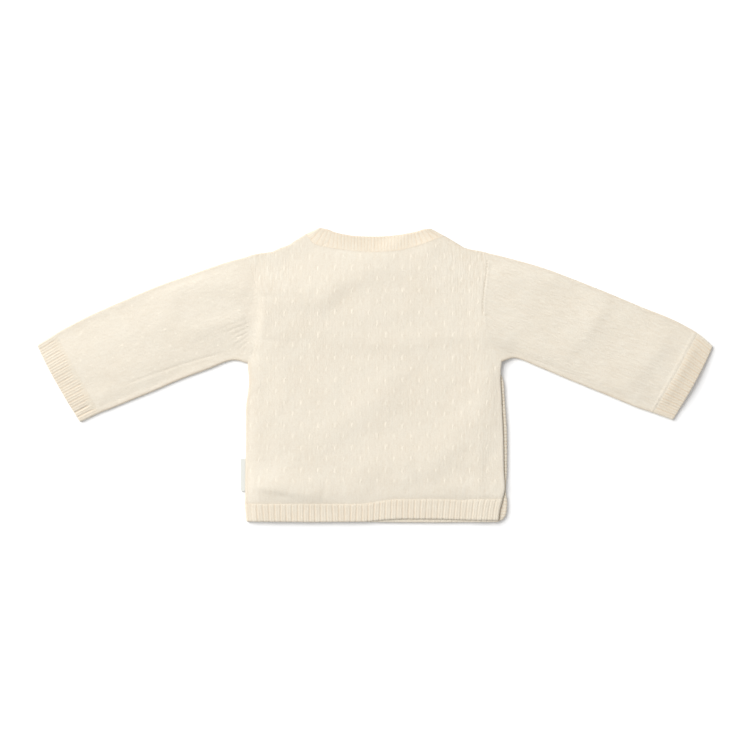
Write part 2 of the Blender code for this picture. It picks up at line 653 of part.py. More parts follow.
# ---------------------------------------------------------------- sleeves and cuffs
def ring_sections(table, side, t, across, lifted, peak, puff):
    """Outer and inner rings of a sleeve or cuff at stations t, from the upper edge round and back.

    Both rings have as many points: the inner one keeps a wall's distance from each folded edge.
    """
    rows = along(table, t)
    top, low = rows[:, 0:2], rows[:, 2:4]
    width = np.linalg.norm(low - top, axis=1)
    steps = np.array(FOLD_STEPS)
    middle = np.linspace(0, 1, across + 1)[1:-1]
    sections = []
    for near in (steps, CLOTH + 0.4 * steps):
        d = np.concatenate([
            np.broadcast_to(near, (len(t), len(near))),
            FOLD_REACH + middle[None] * (width[:, None] - 2 * FOLD_REACH),
            width[:, None] - near[::-1][None],
        ], axis=1)
        sections.append(d)
    hole = ARMHOLES[side]
    fade = (1 - smooth(t / 0.3))[:, None]
    end = np.mean(table[-1].reshape(2, 2) - table[CUFF_ROW].reshape(2, 2), axis=0)
    past_seam = np.clip(t * (len(table) - 1) - CUFF_ROW, 0.0, 1.0)[:, None, None]
    bulge = CUFF_BOW * past_seam * end / np.linalg.norm(end)
    rings = []
    for inside, d in enumerate(sections):
        w = d / width[:, None]
        xy = top[:, None] + (low - top)[:, None] * w[..., None]
        clear = np.clip(w, 0.0, 1.0)
        xy[..., 0] += fade * hole["bow"] * np.sin(np.pi * clear ** hole["skew"])
        xy += bulge * np.sin(np.pi * clear**0.8)[..., None] ** 0.7
        x, y = xy[..., 0], xy[..., 1]
        from_edge = np.minimum(d, width[:, None] - d)
        ease = smooth(from_edge / EDGE_EASE) * puff[:, None]
        air = ease * (SLEEVE_PUFF * np.sin(np.pi * clear) + LOFT / 2 + near_fold(x, y, SLEEVE_FOLDS))
        base = inner_floor(x, y) if lifted else np.zeros_like(x)
        upper = base + CLOTH + LAYER + np.maximum(air, 0.0)
        under = base
        if inside:
            upper = upper - CLOTH
            under = base + CLOTH
        else:
            turned = rounding(from_edge)
            ribs = np.zeros_like(x)
            if peak is not None:
                ribs = RIB_HIGH * peak[None] * smooth(from_edge / 3.0)
            upper = upper - turned + ribs
            under = base + turned
        upper_ring = np.stack([x, y, upper], axis=2)
        under_ring = np.stack([x, y, under], axis=2)[:, ::-1]
        rings.append(np.concatenate([upper_ring, under_ring], axis=1))
    return rings


def make_sleeve(side, table, lifted):
    """A sleeve from its armhole to its cuff; lifted lays its root on what the inner front lies on."""
    rows = len(table) - 1
    seam = CUFF_ROW / rows
    length = np.linalg.norm(table[CUFF_ROW, :2] - table[0, :2])
    start, end = GAP / 2 / length * seam, seam - GAP / 2 / length * seam
    near = np.array([0.0, 0.03, 0.08])
    t = start + (end - start) * np.concatenate([near, np.linspace(0.15, 1 - 0.06, 11), [1.0]])
    puff = smooth(t / 0.06) * smooth((seam - t) / 0.05)
    outer, inner = ring_sections(table, side, t, ARM_ROWS + 1, lifted, None, puff)
    tube(f"sleeve_{side}", outer, inner)


def make_cuff(side, table):
    """A cuff, its upper half ribbed and its lower half flat on the ground."""
    rows = len(table) - 1
    seam = CUFF_ROW / rows
    length = np.linalg.norm(table[-1, :2] - table[CUFF_ROW, :2])
    share = 1 - seam
    start = seam + GAP / 2 / length * share
    t = start + (1 - start) * np.array([0, 0.3, 0.75, 1.0])
    across = 2 * CUFF_RIBS
    count = len(FOLD_STEPS)
    peak = np.concatenate([np.zeros(count), np.arange(1, across) % 2, np.zeros(count)])
    outer, inner = ring_sections(table, side, t, across, False, peak, np.zeros(len(t)))
    tube(f"cuff_{side}", outer, inner, RIB)


def main():
    for thing in list(bpy.data.objects):
        bpy.data.objects.remove(thing, do_unlink=True)
    make_front("front_outer", "left", OUTER_BAND, True)
    make_front_hem("front_outer_hem_rib", "left", OUTER_BAND, True)
    make_buttons(make_front_band("front_band_outer", OUTER_BAND, True, True))
    make_front("front_inner", "right", INNER_BAND, False)
    make_front_hem("front_inner_hem_rib", "right", INNER_BAND, False)
    make_front_band("front_band_inner", INNER_BAND, False, False)
    make_back()
    make_back_hem()
    make_neck_band()
    make_sleeve("left", SLEEVE_LEFT, False)
    make_sleeve("right", SLEEVE_RIGHT, True)
    make_cuff("left", SLEEVE_LEFT)
    make_cuff("right", SLEEVE_RIGHT)
    make_label()


main()
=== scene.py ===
"""A crossover baby cardigan in fine cotton knit, laid flat on its front with its back upwards.

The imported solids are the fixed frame. Each knitted piece here stands for one of them and keeps its
place and form, as a thin closed shell with finer ribs, seams, creases and raised stitches. A face
is a function of two numbers, u and v, over whole grids. Lengths are millimetres until a mesh is
made. X runs to the wearer's right, Y to the neck, Z up.
"""

import bpy
import numpy as np
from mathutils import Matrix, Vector


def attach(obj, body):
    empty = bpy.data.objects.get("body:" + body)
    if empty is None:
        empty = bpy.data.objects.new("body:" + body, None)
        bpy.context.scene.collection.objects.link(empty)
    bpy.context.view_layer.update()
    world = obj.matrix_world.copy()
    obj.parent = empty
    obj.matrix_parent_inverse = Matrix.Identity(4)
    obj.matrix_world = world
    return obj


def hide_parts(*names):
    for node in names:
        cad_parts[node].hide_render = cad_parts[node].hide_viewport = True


MM = 0.001
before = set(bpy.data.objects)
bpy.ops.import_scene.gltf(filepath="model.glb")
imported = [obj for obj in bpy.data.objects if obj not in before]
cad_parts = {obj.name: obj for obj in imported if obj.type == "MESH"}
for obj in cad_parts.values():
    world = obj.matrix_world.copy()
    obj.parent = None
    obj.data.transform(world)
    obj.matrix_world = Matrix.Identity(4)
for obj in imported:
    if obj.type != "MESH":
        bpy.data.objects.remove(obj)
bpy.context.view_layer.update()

# ---------------------------------------------------------------- cloth and layers, as in the solids
CLOTH = 1.6  # thickness of the knit
GAP = 0.3  # between two layers, and at the fronts' seams
LAYER = CLOTH + GAP
FOLD = 1.75  # radius of a folded edge
BAND_THICK = 2.6  # thickness of the outer band where it shows
COVER_HOLD = 8.0  # how far past an edge below the layer on it starts to come down
COVER_FALL = 14.0  # and over what length
SLACK_HOLD = 3.0  # the same for slack cloth
SLACK_FALL = 62.0
TUCK = 14.0  # width over which the back climbs on to the inner front at the left side
SIDE_RISE = (84.0, 18.0)  # where the layers start to rise over the thick band, and over what length
LOFT = 1.5  # air in the middle of the garment
LOFT_EASE = 36.0  # how far in from the outline the loft is full
SLEEVE_PUFF = 1.1  # air along the middle of a sleeve
EDGE_EASE = 9.0  # how far in from the outline the creases are full
SLACK_EASE = 22.0  # and the slack
INWARD = {"left": 1.0, "right": -1.0}  # which way X runs into the body from each side
HEM_SEAM_Y = -116.7
HEM_REACH = 16.0  # how far from its seam the hem's wave dies out
BODY_HEIGHT = 228.0
ARMPIT_SHARE = 0.565  # how far up the body the armpits are
SAMPLES = 600  # places along an outline's curve

# ---------------------------------------------------------------- knit
WALE = 1.36  # width of a plain stitch
COURSE = 1.07  # its height
HEM_PITCH = 5.4  # width of a hem's rib
HEM_RIB = 0.52  # its height
CUFF_RIBS = 16
CUFF_RIB = 0.46  # height of a cuff's rib
CUFF_BOW = 1.7  # how far a cuff's open end bows out
BAND_PITCH = 3.1  # width of a rib of the bands
BAND_RIB = 0.4  # its height on the front bands
NECK_RIB = 0.14  # and on the neck band
BAND_SHOWS_Y = 4.0  # the height below which the outer band comes out past the back
DASH_ACROSS = 15.65  # spacing of the raised stitches in a row
DASH_DOWN = 10.43  # spacing of their rows
DASH_START = (-99.6, 78.8)  # place of one of them
DASH_LENGTH = 8.4  # its length, on the whole
DASH_HIGH = 0.4  # thickness of its yarn
DASH_SINK = {"back": 0.3, "left": 0.34, "right": 0.37}  # how deep it lies in the cloth
DASH_LEAN = 0.13  # how far a raised stitch leans to the right for its height
DASH_ROOM = {"back": 3.5, "sleeve": 4.0}  # its least distance from the piece's edge
LINK_REACH = 1.1  # how far a linking stitch reaches to each side of its seam
STRAND_SIDES = 5
STEP = 1.2  # grid step of a face that shows
PLAIN_STEP = 3.5  # grid step of a face that doesn't

# ---------------------------------------------------------------- outlines, as in the solids
# Only the lower edge of the back's hem is finer here.
# Body sides, from the hem up to the armpits: height, left edge, right edge.
SIDES = np.array([
    (-137.0, -119.3, 114.4),
    (-125.6, -120.4, 116.2),
    (-116.7, -120.8, 118.6),
    (-105.0, -120.6, 120.6),
    (-88.0, -120.4, 119.7),
    (-56.0, -120.0, 119.1),
    (-28.8, -119.8, 117.8),
    (-17.7, -118.2, 117.4),
    (-4.7, -117.2, 116.6),
    (4.7, -118.0, 116.9),
    (12.0, -118.4, 117.6),
])

# Hem, from left to right: place, bottom of the back, bottom of the fronts.
HEM = np.array([
    (-122.0, -135.8, -135.4),
    (-60.0, -136.4, -135.9),
    (-10.0, -136.0, -136.2),
    (8.0, -134.3, -136.4),
    (25.0, -133.3, -136.6),
    (60.0, -133.5, -136.7),
    (90.0, -134.4, -136.5),
    (124.0, -134.8, -136.2),
])

BACK_LEFT, BACK_RIGHT = SIDES[2, 1:]  # the two ends of the hem's seam

ARMHOLES = {
    "left": {"shoulder": (-119.0, 109.9), "armpit": (-118.4, 11.0), "bow": 10.0, "skew": 1.0},
    "right": {"shoulder": (104.0, 113.6), "armpit": (117.6, 12.3), "bow": -11.5, "skew": 1.4},
}
SHOULDER_LEFT = np.array([
    (-119.0, 109.9), (-110.7, 112.5), (-95.8, 114.6), (-88.4, 118.0), (-80.9, 120.6),
    (-73.5, 125.4), (-64.2, 131.1),
])
SHOULDER_RIGHT = np.array([
    (64.2, 129.3), (67.9, 127.4), (75.3, 122.8), (82.8, 118.3), (90.2, 116.4),
    (97.7, 115.2), (104.0, 113.6),
])

# Neck band, from left to right: free edge x and y, seam edge x and y.
NECK_BAND = np.array([
    (-52.1, 136.7, -64.2, 131.1),
    (-43.7, 134.9, -57.6, 123.0),
    (-36.3, 132.1, -47.4, 119.4),
    (-21.4, 129.3, -27.9, 116.3),
    (-6.5, 128.6, -8.0, 114.6),
    (8.4, 128.8, 8.0, 114.7),
    (23.3, 130.2, 24.0, 116.3),
    (38.1, 133.0, 40.0, 120.6),
    (45.6, 135.3, 52.0, 124.8),
    (52.1, 135.9, 64.2, 129.3),
])

# Front bands, from the neck point to the hem: free edge x and y, seam edge x and y, thickness.
OUTER_BAND = np.array([
    (-52.1, 136.7, -64.2, 131.1, CLOTH),
    (-30.0, 119.1, -39.5, 108.3, CLOTH),
    (20.0, 79.3, 11.0, 68.0, CLOTH),
    (70.0, 39.5, 61.0, 28.2, CLOTH),
    (100.0, 15.6, 91.5, 4.8, 1.8),
    (111.9, 6.0, 101.6, -3.0, 2.1),
    (117.7, -1.4, 104.4, -7.2, 2.5),
    (119.6, -10.0, 105.2, -12.5, BAND_THICK),
    (120.4, -24.0, 106.0, -24.5, BAND_THICK),
    (122.2, -51.0, 107.8, -51.0, BAND_THICK),
    (122.3, -88.0, 107.9, -88.0, BAND_THICK),
    (121.2, -106.5, 107.6, -106.0, BAND_THICK),
    (122.6, -118.0, 107.9, -117.0, BAND_THICK),
    (121.4, -129.5, 107.7, -129.0, BAND_THICK),
    (118.0, -134.9, 107.4, -136.2, 2.2),
])
INNER_BAND = np.array([
    (52.1, 135.9, 64.2, 129.3, CLOTH),
    (30.0, 117.3, 39.6, 106.4, CLOTH),
    (-20.0, 75.3, -10.7, 64.3, CLOTH),
    (-70.0, 33.3, -60.7, 22.3, CLOTH),
    (-95.0, 12.2, -85.4, 1.6, CLOTH),
    (-104.2, 2.6, -91.6, -5.4, CLOTH),
    (-107.6, -8.0, -93.3, -10.6, CLOTH),
    (-108.0, -22.0, -93.6, -22.2, CLOTH),
    (-108.0, -76.0, -93.6, -76.0, CLOTH),
    (-108.0, -135.4, -93.6, -135.4, CLOTH),
])

# Sleeves, from the armhole to the end of the cuff: upper edge x and y, lower edge x and y.
SLEEVES = {
    "left": np.array([
        (-119.0, 109.9, -118.4, 11.0),
        (-140.4, 104.0, -133.5, 13.6),
        (-170.2, 93.7, -155.3, 5.4),
        (-200.0, 83.3, -181.0, -4.2),
        (-229.7, 70.9, -207.4, -15.6),
        (-259.5, 57.9, -231.0, -25.2),
        (-281.0, 47.2, -246.0, -31.4),
        (-296.4, 38.7, -256.0, -35.2),
        (-313.4, 28.2, -273.6, -43.6),
    ]),
    "right": np.array([
        (104.0, 113.6, 117.6, 12.3),
        (128.0, 107.6, 131.0, 15.6),
        (158.0, 98.9, 152.0, 7.6),
        (188.0, 87.6, 178.0, -3.3),
        (218.0, 75.6, 203.0, -13.5),
        (247.0, 63.4, 226.0, -22.9),
        (276.0, 51.8, 244.0, -30.3),
        (299.4, 39.0, 258.2, -35.0),
        (313.4, 27.2, 276.2, -41.6),
    ]),
}
CUFF_ROW = 7  # the row of both tables at which the cuff is linked on
CUFF_SHARE = CUFF_ROW / 8

# Creases: half width up the slope, half width down it, height (below 0 for a trough), and course.
# "Up" is the side to the left of the course as it runs.
CREASES = (
    ("yoke_fold_left", 16, 18, 1.7, ((-112, 81), (-80, 77), (-58, 71))),
    ("yoke_fold", 20, 9, 1.4, ((-66, 70), (-49, 71), (-29, 87), (0, 92))),
    ("yoke_fold_right", 14, 9, 0.4, ((70, 95), (98, 93))),
    ("beside_the_armhole", 8, 24, 1.6, ((-103, 33), (-101, 52), (-101, 72))),
    ("under_the_yoke", 9, 14, 0.5, ((-27, 55), (0, 60), (42, 56))),
    ("chest", 12, 8, 0.7, ((-83, 46), (-37, 34), (24, 30), (85, 37))),
    ("middle_diagonal", 15, 17, 1.0, ((-53, -66), (-23, -40), (8, -18), (20, 0))),
    ("left_panel", 12, 12, 0.4, ((-105, -42), (-83, -10))),
    ("sweep_start", 16, 14, 0.8, ((-32, -107), (0, -89), (40, -81))),
    ("sweep", 18, 15, 1.3, ((36, -79), (62, -72), (84, -52), (98, -25))),
    ("right_side", 18, 8, 0.7, ((108, -50), (107, -10), (104, 5))),
    ("under_the_sweep", 8, 8, 0.4, ((19, -98), (61, -89))),
    ("beside_the_band", 6, 6, -0.6, ((103, -112), (105, -89), (107, -72))),
    ("hem_pouch_left", 14, 8, 3.0, ((-110, -103), (-92, -105), (-69, -109), (-48, -112))),
    ("hem_pouch_middle", 8, 5, 0.3, ((-50, -110), (42, -110), (107, -109))),
    ("hem_pouch_right", 8, 7, 0.6, ((60, -106), (84, -105), (107, -107))),
    ("left_head", 14, 12, 1.2, ((-199, 69), (-176, 80), (-139, 85), (-115, 80))),
    ("left_elbow", 14, 10, 0.4, ((-192, 55), (-186, 70))),
    ("left_armpit", 9, 8, 1.0, ((-172, 41), (-139, 49), (-120, 53))),
    ("left_armhole_hollow", 8, 8, -0.8, ((-116, 27), (-116, 55))),
    ("left_lower_edge", 14, 8, 0.9, ((-262, -22), (-232, -10), (-195, 5))),
    ("left_cuff_corner", 12, 8, 0.8, ((-291, -19), (-260, -26))),
    ("right_head", 12, 12, 1.1, ((107, 93), (140, 91), (172, 85))),
    ("right_elbow", 18, 9, 1.0, ((178, 21), (199, 43), (213, 69))),
    ("right_wrist", 18, 9, 1.0, ((228, -14), (254, 12), (269, 34))),
    ("right_lower_edge", 14, 7, 1.2, ((130, 26), (165, 13), (205, -5), (255, -24))),
    ("right_cuff", 5, 5, 0.8, ((269, -24), (284, 2), (297, 27))),
    ("neck_right", 8, 7, 0.6, ((47, 114), (61, 129))),
)
# Fine creases and seam lines, in the same way.
FINE_LINES = (
    ("left_underarm_seam", 0.9, 0.9, -0.45, ((-230.6, -8.4), (-180.0, 9.5), (-141.4, 20.5))),
    ("right_underarm_seam", 0.9, 0.9, -0.5, ((255.8, -19.5), (272.0, -27.5), (288.3, -34.4))),
    ("armpit_1", 0.8, 0.8, -0.30, ((-138.6, 44.6), (-120.0, 52.1))),
    ("armpit_2", 0.8, 0.8, -0.35, ((-136.7, 40.2), (-118.1, 47.6))),
    ("armpit_3", 0.8, 0.8, -0.35, ((-133.9, 36.0), (-118.6, 43.4))),
    ("armpit_4", 0.8, 0.8, -0.40, ((-132.1, 32.0), (-118.1, 39.6))),
    ("armpit_5", 0.8, 0.8, -0.35, ((-130.2, 27.6), (-117.4, 36.0))),
    ("armpit_6", 0.8, 0.8, -0.30, ((-126.5, 24.0), (-117.0, 32.0))),
    ("armpit_7", 0.8, 0.8, -0.25, ((-114.6, 18.0), (-112.0, 27.0))),
    ("left_cuff_fold_1", 1.1, 1.1, -0.6, ((-281.5, -36.8), (-265.0, -27.5))),
    ("left_cuff_fold_2", 0.9, 0.9, -0.35, ((-277.0, -39.5), (-264.0, -32.5))),
    ("hem_crease", 1.6, 1.6, -0.35, ((-106, -109), (-90, -112), (-74, -114))),
    ("neck_corner", 0.8, 0.8, -0.25, ((-50.2, 119.0), (-44.6, 122.8))),
)


# ---------------------------------------------------------------- curves
def smooth(t):
    """0 below 0, 1 above 1, and 3t^2 - 2t^3 between."""
    t = np.clip(t, 0.0, 1.0)
    return t * t * (3.0 - 2.0 * t)


def bell(d, width):
    """1 at d = 0, dying out to both sides as exp(-(d / width)^2)."""
    return np.exp(-((d / width) ** 2))


def unit(ways):
    """The same ways, each of length 1."""
    return ways / np.linalg.norm(ways, axis=-1, keepdims=True)


def to_segment(x, y, x0, y0, x1, y1):
    """Share of a straight stretch at its nearest place to a point, and the distance to there."""
    dx, dy = x1 - x0, y1 - y0
    t = np.clip(((x - x0) * dx + (y - y0) * dy) / np.maximum(dx * dx + dy * dy, 1e-9), 0.0, 1.0)
    return t, np.hypot(x - x0 - t * dx, y - y0 - t * dy)


def along(table, t):
    """Rows of a table at places t from 0 to 1, on a cubic through the rows."""
    rows = len(table) - 1
    place = np.clip(np.asarray(t, float), 0.0, 1.0) * rows
    k = np.minimum(place.astype(int), rows - 1)
    f = (place - k)[..., None]
    slope = np.gradient(table, axis=0)
    p, q, a, b = table[k], table[k + 1], slope[k], slope[k + 1]
    f2, f3 = f * f, f * f * f
    return (2 * f3 - 3 * f2 + 1) * p + (f3 - 2 * f2 + f) * a + (3 * f2 - 2 * f3) * q + (f3 - f2) * b


def running(points):
    """Length along a chain of points at each of them."""
    return np.concatenate([[0.0], np.cumsum(np.linalg.norm(np.diff(points[:, :2], axis=0), axis=1))])


def at_share(points, t):
    """Points of a chain at shares t of its length, for t of any shape."""
    run = running(points)
    return np.stack([np.interp(t, run / run[-1], column) for column in points.T], axis=-1)


def dense(table):
    """A table's cubic as a chain of many points."""
    return along(table, np.linspace(0, 1, SAMPLES))


def lumps(x, y, size, seed):
    """Soft unevenness from -1 to 1: random heights at the corners of squares, eased between them."""
    heights = np.random.default_rng(seed).uniform(-1, 1, (97, 97))
    gx, gy = x / size + 500.0, y / size + 500.0
    i, j = np.floor(gx).astype(int), np.floor(gy).astype(int)
    fx, fy = smooth(gx - i), smooth(gy - j)
    i0, i1, j0, j1 = i % 97, (i + 1) % 97, j % 97, (j + 1) % 97
    low = heights[i0, j0] * (1 - fx) + heights[i1, j0] * fx
    high = heights[i0, j1] * (1 - fx) + heights[i1, j1] * fx
    return low * (1 - fy) + high * fy


def creases(x, y, table):
    """Sum of creases: height x exp(-(distance / half width)^2) from each course, lower at its ends.
    The half width goes from one side's to the other's with the angle round the course."""
    total = np.zeros(np.broadcast(x, y).shape)
    for _, up, down, height, course in table:
        course = along(np.array(course), np.linspace(0, 1, 5 * len(course)))
        reach = 2.6 * max(up, down)
        low, high = course.min(axis=0) - reach, course.max(axis=0) + reach
        close = (x > low[0]) & (x < high[0]) & (y > low[1]) & (y < high[1])
        px, py = x[close], y[close]
        best = np.full(px.shape, np.inf)
        share, side = np.zeros(px.shape), np.zeros(px.shape)
        parts = len(course) - 1
        for k in range(parts):
            (x0, y0), (dx, dy) = course[k], course[k + 1] - course[k]
            t, away = to_segment(px, py, *course[k], *course[k + 1])
            nearer = away < best
            share = np.where(nearer, (k + t) / parts, share)
            side = np.where(nearer, (dx * (py - y0) - dy * (px - x0)) / np.hypot(dx, dy), side)
            best = np.minimum(best, away)
        half = down + (up - down) * (0.5 + 0.5 * side / np.maximum(best, 1e-6))
        ends = 1.0 - 0.6 * (2.0 * share - 1.0) ** 4
        total[close] += height * ends * bell(best, half)
    return total


def turned(d, radius=FOLD, drop=1.5):
    """How far a folded edge's face has gone round a quarter circle, at a distance d from the edge."""
    r = np.clip(1.0 - np.asarray(d, float) / radius, 0.0, 1.0)
    return drop * (1.0 - np.sqrt(1.0 - r * r))


def on_turn(parts):
    """Distances from a folded edge of places spread evenly round its quarter circle."""
    return FOLD * (1.0 - np.cos(np.linspace(0, np.pi / 2, parts + 1)))


def from_edge(width, step):
    """Distances across a face from one folded edge to the other, close together on the two turns."""
    turn = on_turn(5)
    middle = np.linspace(FOLD, width - FOLD, int(round((width - 2 * FOLD) / step)))
    return np.concatenate([turn[:-1], middle, (width - turn)[::-1][1:]])


# ---------------------------------------------------------------- what each layer lies on
def past_edge(band, side, x, y):
    """Distance past a front's slanting free edge, above 0 where that front is missing."""
    (x0, y0), (x1, y1) = band[0, :2], band[3, :2]
    length = np.hypot(x1 - x0, y1 - y0)
    return side * ((x - x0) * (y0 - y1) + (y - y0) * (x1 - x0)) / length


def over_outer(x, y, hold=COVER_HOLD, fall=COVER_FALL):
    """1 over the outer front, 0 clear of its slanting edge."""
    return 1.0 - smooth((past_edge(OUTER_BAND, 1.0, x, y) - hold) / fall)


def over_inner(x, y, hold=COVER_HOLD, fall=COVER_FALL):
    """1 over the inner front, 0 clear of its slanting edge."""
    return 1.0 - smooth((past_edge(INNER_BAND, -1.0, x, y) - hold) / fall)


def climb(n):
    """0 at n = 0 and 1 at n = 1, steepest at the start: sin(pi n / 2)."""
    return np.sin(np.pi / 2 * np.clip(n, 0.0, 1.0))


def outer_height(x):
    """Height of the outer front and its thick band."""
    return LAYER + smooth((x - SIDE_RISE[0]) / SIDE_RISE[1]) * (BAND_THICK - CLOTH)


def inner_floor(x, y, lifted=True):
    """Height of what the inner front lies on, or of the floor for what isn't lifted."""
    return over_outer(x, y) * outer_height(x) if lifted else np.zeros_like(x)


def back_floor(x, y):
    """Height of what the back lies on."""
    share = over_inner(x, y) * climb((x - BACK_LEFT) / TUCK)
    return share * (inner_floor(x, y) + LAYER) + (1.0 - share) * over_outer(x, y) * LAYER


def slack_floor(x, y):
    """Height at which slack cloth hangs over the slanting edges, in long slopes. Above the armpit
    the slope at the left reaches out into the sleeve."""
    outer = over_outer(x, y, SLACK_HOLD, SLACK_FALL)
    above = smooth((y - 12.0) / 40.0)
    inner = over_inner(x, y, SLACK_HOLD, SLACK_FALL)
    inner = inner * climb((x - BACK_LEFT + 45.0 * above) / (TUCK + 30.0 * above))
    return inner * (outer * outer_height(x) + LAYER) + (1.0 - inner) * outer * LAYER


def room(x, y):
    """Distance from places inside the garment's outline to that outline."""
    best = np.full(x.shape, np.inf)
    for start, end in zip(OUTLINE, np.roll(OUTLINE, -1, axis=0)):
        best = np.minimum(best, to_segment(x, y, *start, *end)[1])
    return best


def air(x, y, resting, puff=0.0):
    """How far the top layer stands off what it rests on: slack, loft and creases, down to nothing at
    the garment's outline. The loft falls in long slopes, and there is little of it by the left side,
    where the layers step up, and by the hem."""
    inside = room(x, y)
    slack = np.maximum(slack_floor(x, y) - resting, 0.0)
    by_side = (1.0 - smooth((x - BACK_LEFT) / 50.0)) * smooth((10.0 - y) / 25.0)
    loft = LOFT * (1.0 - 0.8 * by_side) * smooth((y + 140.0) / 60.0) * smooth(inside / LOFT_EASE)
    soft = puff + creases(x, y, CREASES)
    return np.maximum(loft + smooth(inside / SLACK_EASE) * slack + smooth(inside / EDGE_EASE) * soft, 0.0)


# ---------------------------------------------------------------- meshes
def put(name, points, quads, triangles, material, stitch=None, painted_shade=None, edge=()):
    """One mesh object at the origin from whole arrays, with its stitch numbers and its painted shade. It is
    shaded smooth, but not round the edge, a loop of points where its face ends."""
    mesh = bpy.data.meshes.new(name)
    corners = np.concatenate([quads.ravel(), triangles.ravel()]).astype(np.int32)
    sizes = np.concatenate([np.full(len(quads), 4), np.full(len(triangles), 3)]).astype(np.int32)
    starts = np.concatenate([[0], np.cumsum(sizes)[:-1]]).astype(np.int32)
    mesh.vertices.add(len(points))
    mesh.vertices.foreach_set("co", (points * MM).astype(np.float32).ravel())
    mesh.loops.add(len(corners))
    mesh.loops.foreach_set("vertex_index", corners)
    mesh.polygons.add(len(sizes))
    mesh.polygons.foreach_set("loop_start", starts)
    mesh.polygons.foreach_set("use_smooth", np.ones(len(sizes), bool))
    mesh.update(calc_edges=True)
    ends = np.zeros(2 * len(mesh.edges), np.int32)
    mesh.edges.foreach_get("vertices", ends)
    sharp = np.isin(ends, edge).reshape(-1, 2).all(axis=1)
    mesh.attributes.new("sharp_edge", "BOOLEAN", "EDGE").data.foreach_set("value", sharp)
    if stitch is not None:
        field = mesh.attributes.new("stitch", "FLOAT_VECTOR", "POINT")
        field.data.foreach_set("vector", stitch.astype(np.float32).ravel())
    if painted_shade is not None:
        field = mesh.attributes.new("painted_shade", "FLOAT", "POINT")
        field.data.foreach_set("value", painted_shade.astype(np.float32).ravel())
    mesh.materials.append(material)
    piece = bpy.data.objects.new(name, mesh)
    bpy.context.scene.collection.objects.link(piece)
    return piece


def stitches(wale, course, streak=0.3):
    """Stitch numbers of a face: the wale, the course, and how strongly the wales show as streaks."""
    return np.stack(np.broadcast_arrays(wale, course, streak), axis=-1).astype(float)


def kept(count, every):
    """Which of a fine row of points the coarse inner wall keeps, and each point's nearest kept one."""
    keep = np.unique(np.round(np.linspace(0, count - 1, max(2, count // every))).astype(int))
    nearest = np.abs(np.arange(count)[:, None] - keep[None]).argmin(axis=1)
    return keep, nearest


def rim(fine, coarse):
    """Triangles between a fine loop of points and the coarse loop that each of them belongs to."""
    fine_next, coarse_next = np.roll(fine, -1), np.roll(coarse, -1)
    first = np.stack([fine, coarse_next, fine_next], axis=1)
    step = coarse != coarse_next
    second = np.stack([fine, coarse, coarse_next], axis=1)[step]
    return np.concatenate([first, second])


def grid_quads(rows, columns, start=0):
    """Four-sided faces of a grid of points."""
    i, j = np.mgrid[0 : rows - 1, 0 : columns - 1]
    a = (i * columns + j).ravel() + start
    return np.stack([a, a + columns, a + columns + 1, a + 1], axis=1)


def ring_quads(rows, around, start=0):
    """Four-sided faces of a stack of closed rings of points."""
    i, j = (part.ravel() for part in np.mgrid[0 : rows - 1, 0:around])
    a, b = i * around + j + start, i * around + (j + 1) % around + start
    return np.stack([a, a + around, b + around, b], axis=1)


def ring_caps(rows, around):
    """Triangles that close a stack of rings to the two points that come after it in the mesh."""
    first = np.arange(around)
    last, count = first + (rows - 1) * around, rows * around
    ends = ((count, first, np.roll(first, -1)), (count + 1, np.roll(last, -1), last))
    return np.concatenate([np.stack(np.broadcast_arrays(*end), axis=1) for end in ends])


def outward(points, quads, triangles):
    """The same faces, turned round if they enclose less than nothing."""
    fan = np.concatenate([triangles, quads[:, [0, 1, 2]], quads[:, [0, 2, 3]]])
    a, b, c = (points[fan[:, k]] for k in range(3))
    if np.einsum("ij,ij->", a, np.cross(b, c)) < 0:
        return quads[:, ::-1], triangles[:, ::-1]
    return quads, triangles


def faces_at(x, y, *heights):
    """Faces over the same places, one at each height."""
    return [np.stack([x, y, z], axis=-1) for z in heights]


def sheet_of(name, upper, lower, material, stitch=None, painted_shade=None, every=3, fine_lower=False):
    """A closed wall: a fine upper face, a coarser lower face under it and a rim round both."""
    rows, columns = upper.shape[:2]
    keep_r, near_r = kept(rows, 1 if fine_lower else every)
    keep_c, near_c = kept(columns, 1 if fine_lower else every)
    below = lower[np.ix_(keep_r, keep_c)]
    r, c = below.shape[:2]
    count = rows * columns
    i, j = np.arange(rows), np.arange(columns)
    fine = np.concatenate([
        i[:-1] * columns,
        (rows - 1) * columns + j[:-1],
        i[:0:-1] * columns + columns - 1,
        j[:0:-1],
    ])
    coarse = count + np.concatenate([
        near_r[:-1] * c,
        (r - 1) * c + near_c[:-1],
        near_r[:0:-1] * c + c - 1,
        near_c[:0:-1],
    ])
    quads = np.concatenate([grid_quads(rows, columns), grid_quads(r, c, count)[:, ::-1]])
    points = np.concatenate([upper.reshape(-1, 3), below.reshape(-1, 3)])
    quads, triangles = outward(points, quads, rim(fine, coarse))
    if stitch is not None:
        stitch = np.concatenate([stitch.reshape(-1, 3), stitch[np.ix_(keep_r, keep_c)].reshape(-1, 3)])
        painted_shade = np.concatenate([painted_shade.ravel(), np.zeros(r * c)])
    return put(name, points, quads, triangles, material, stitch, painted_shade, fine)


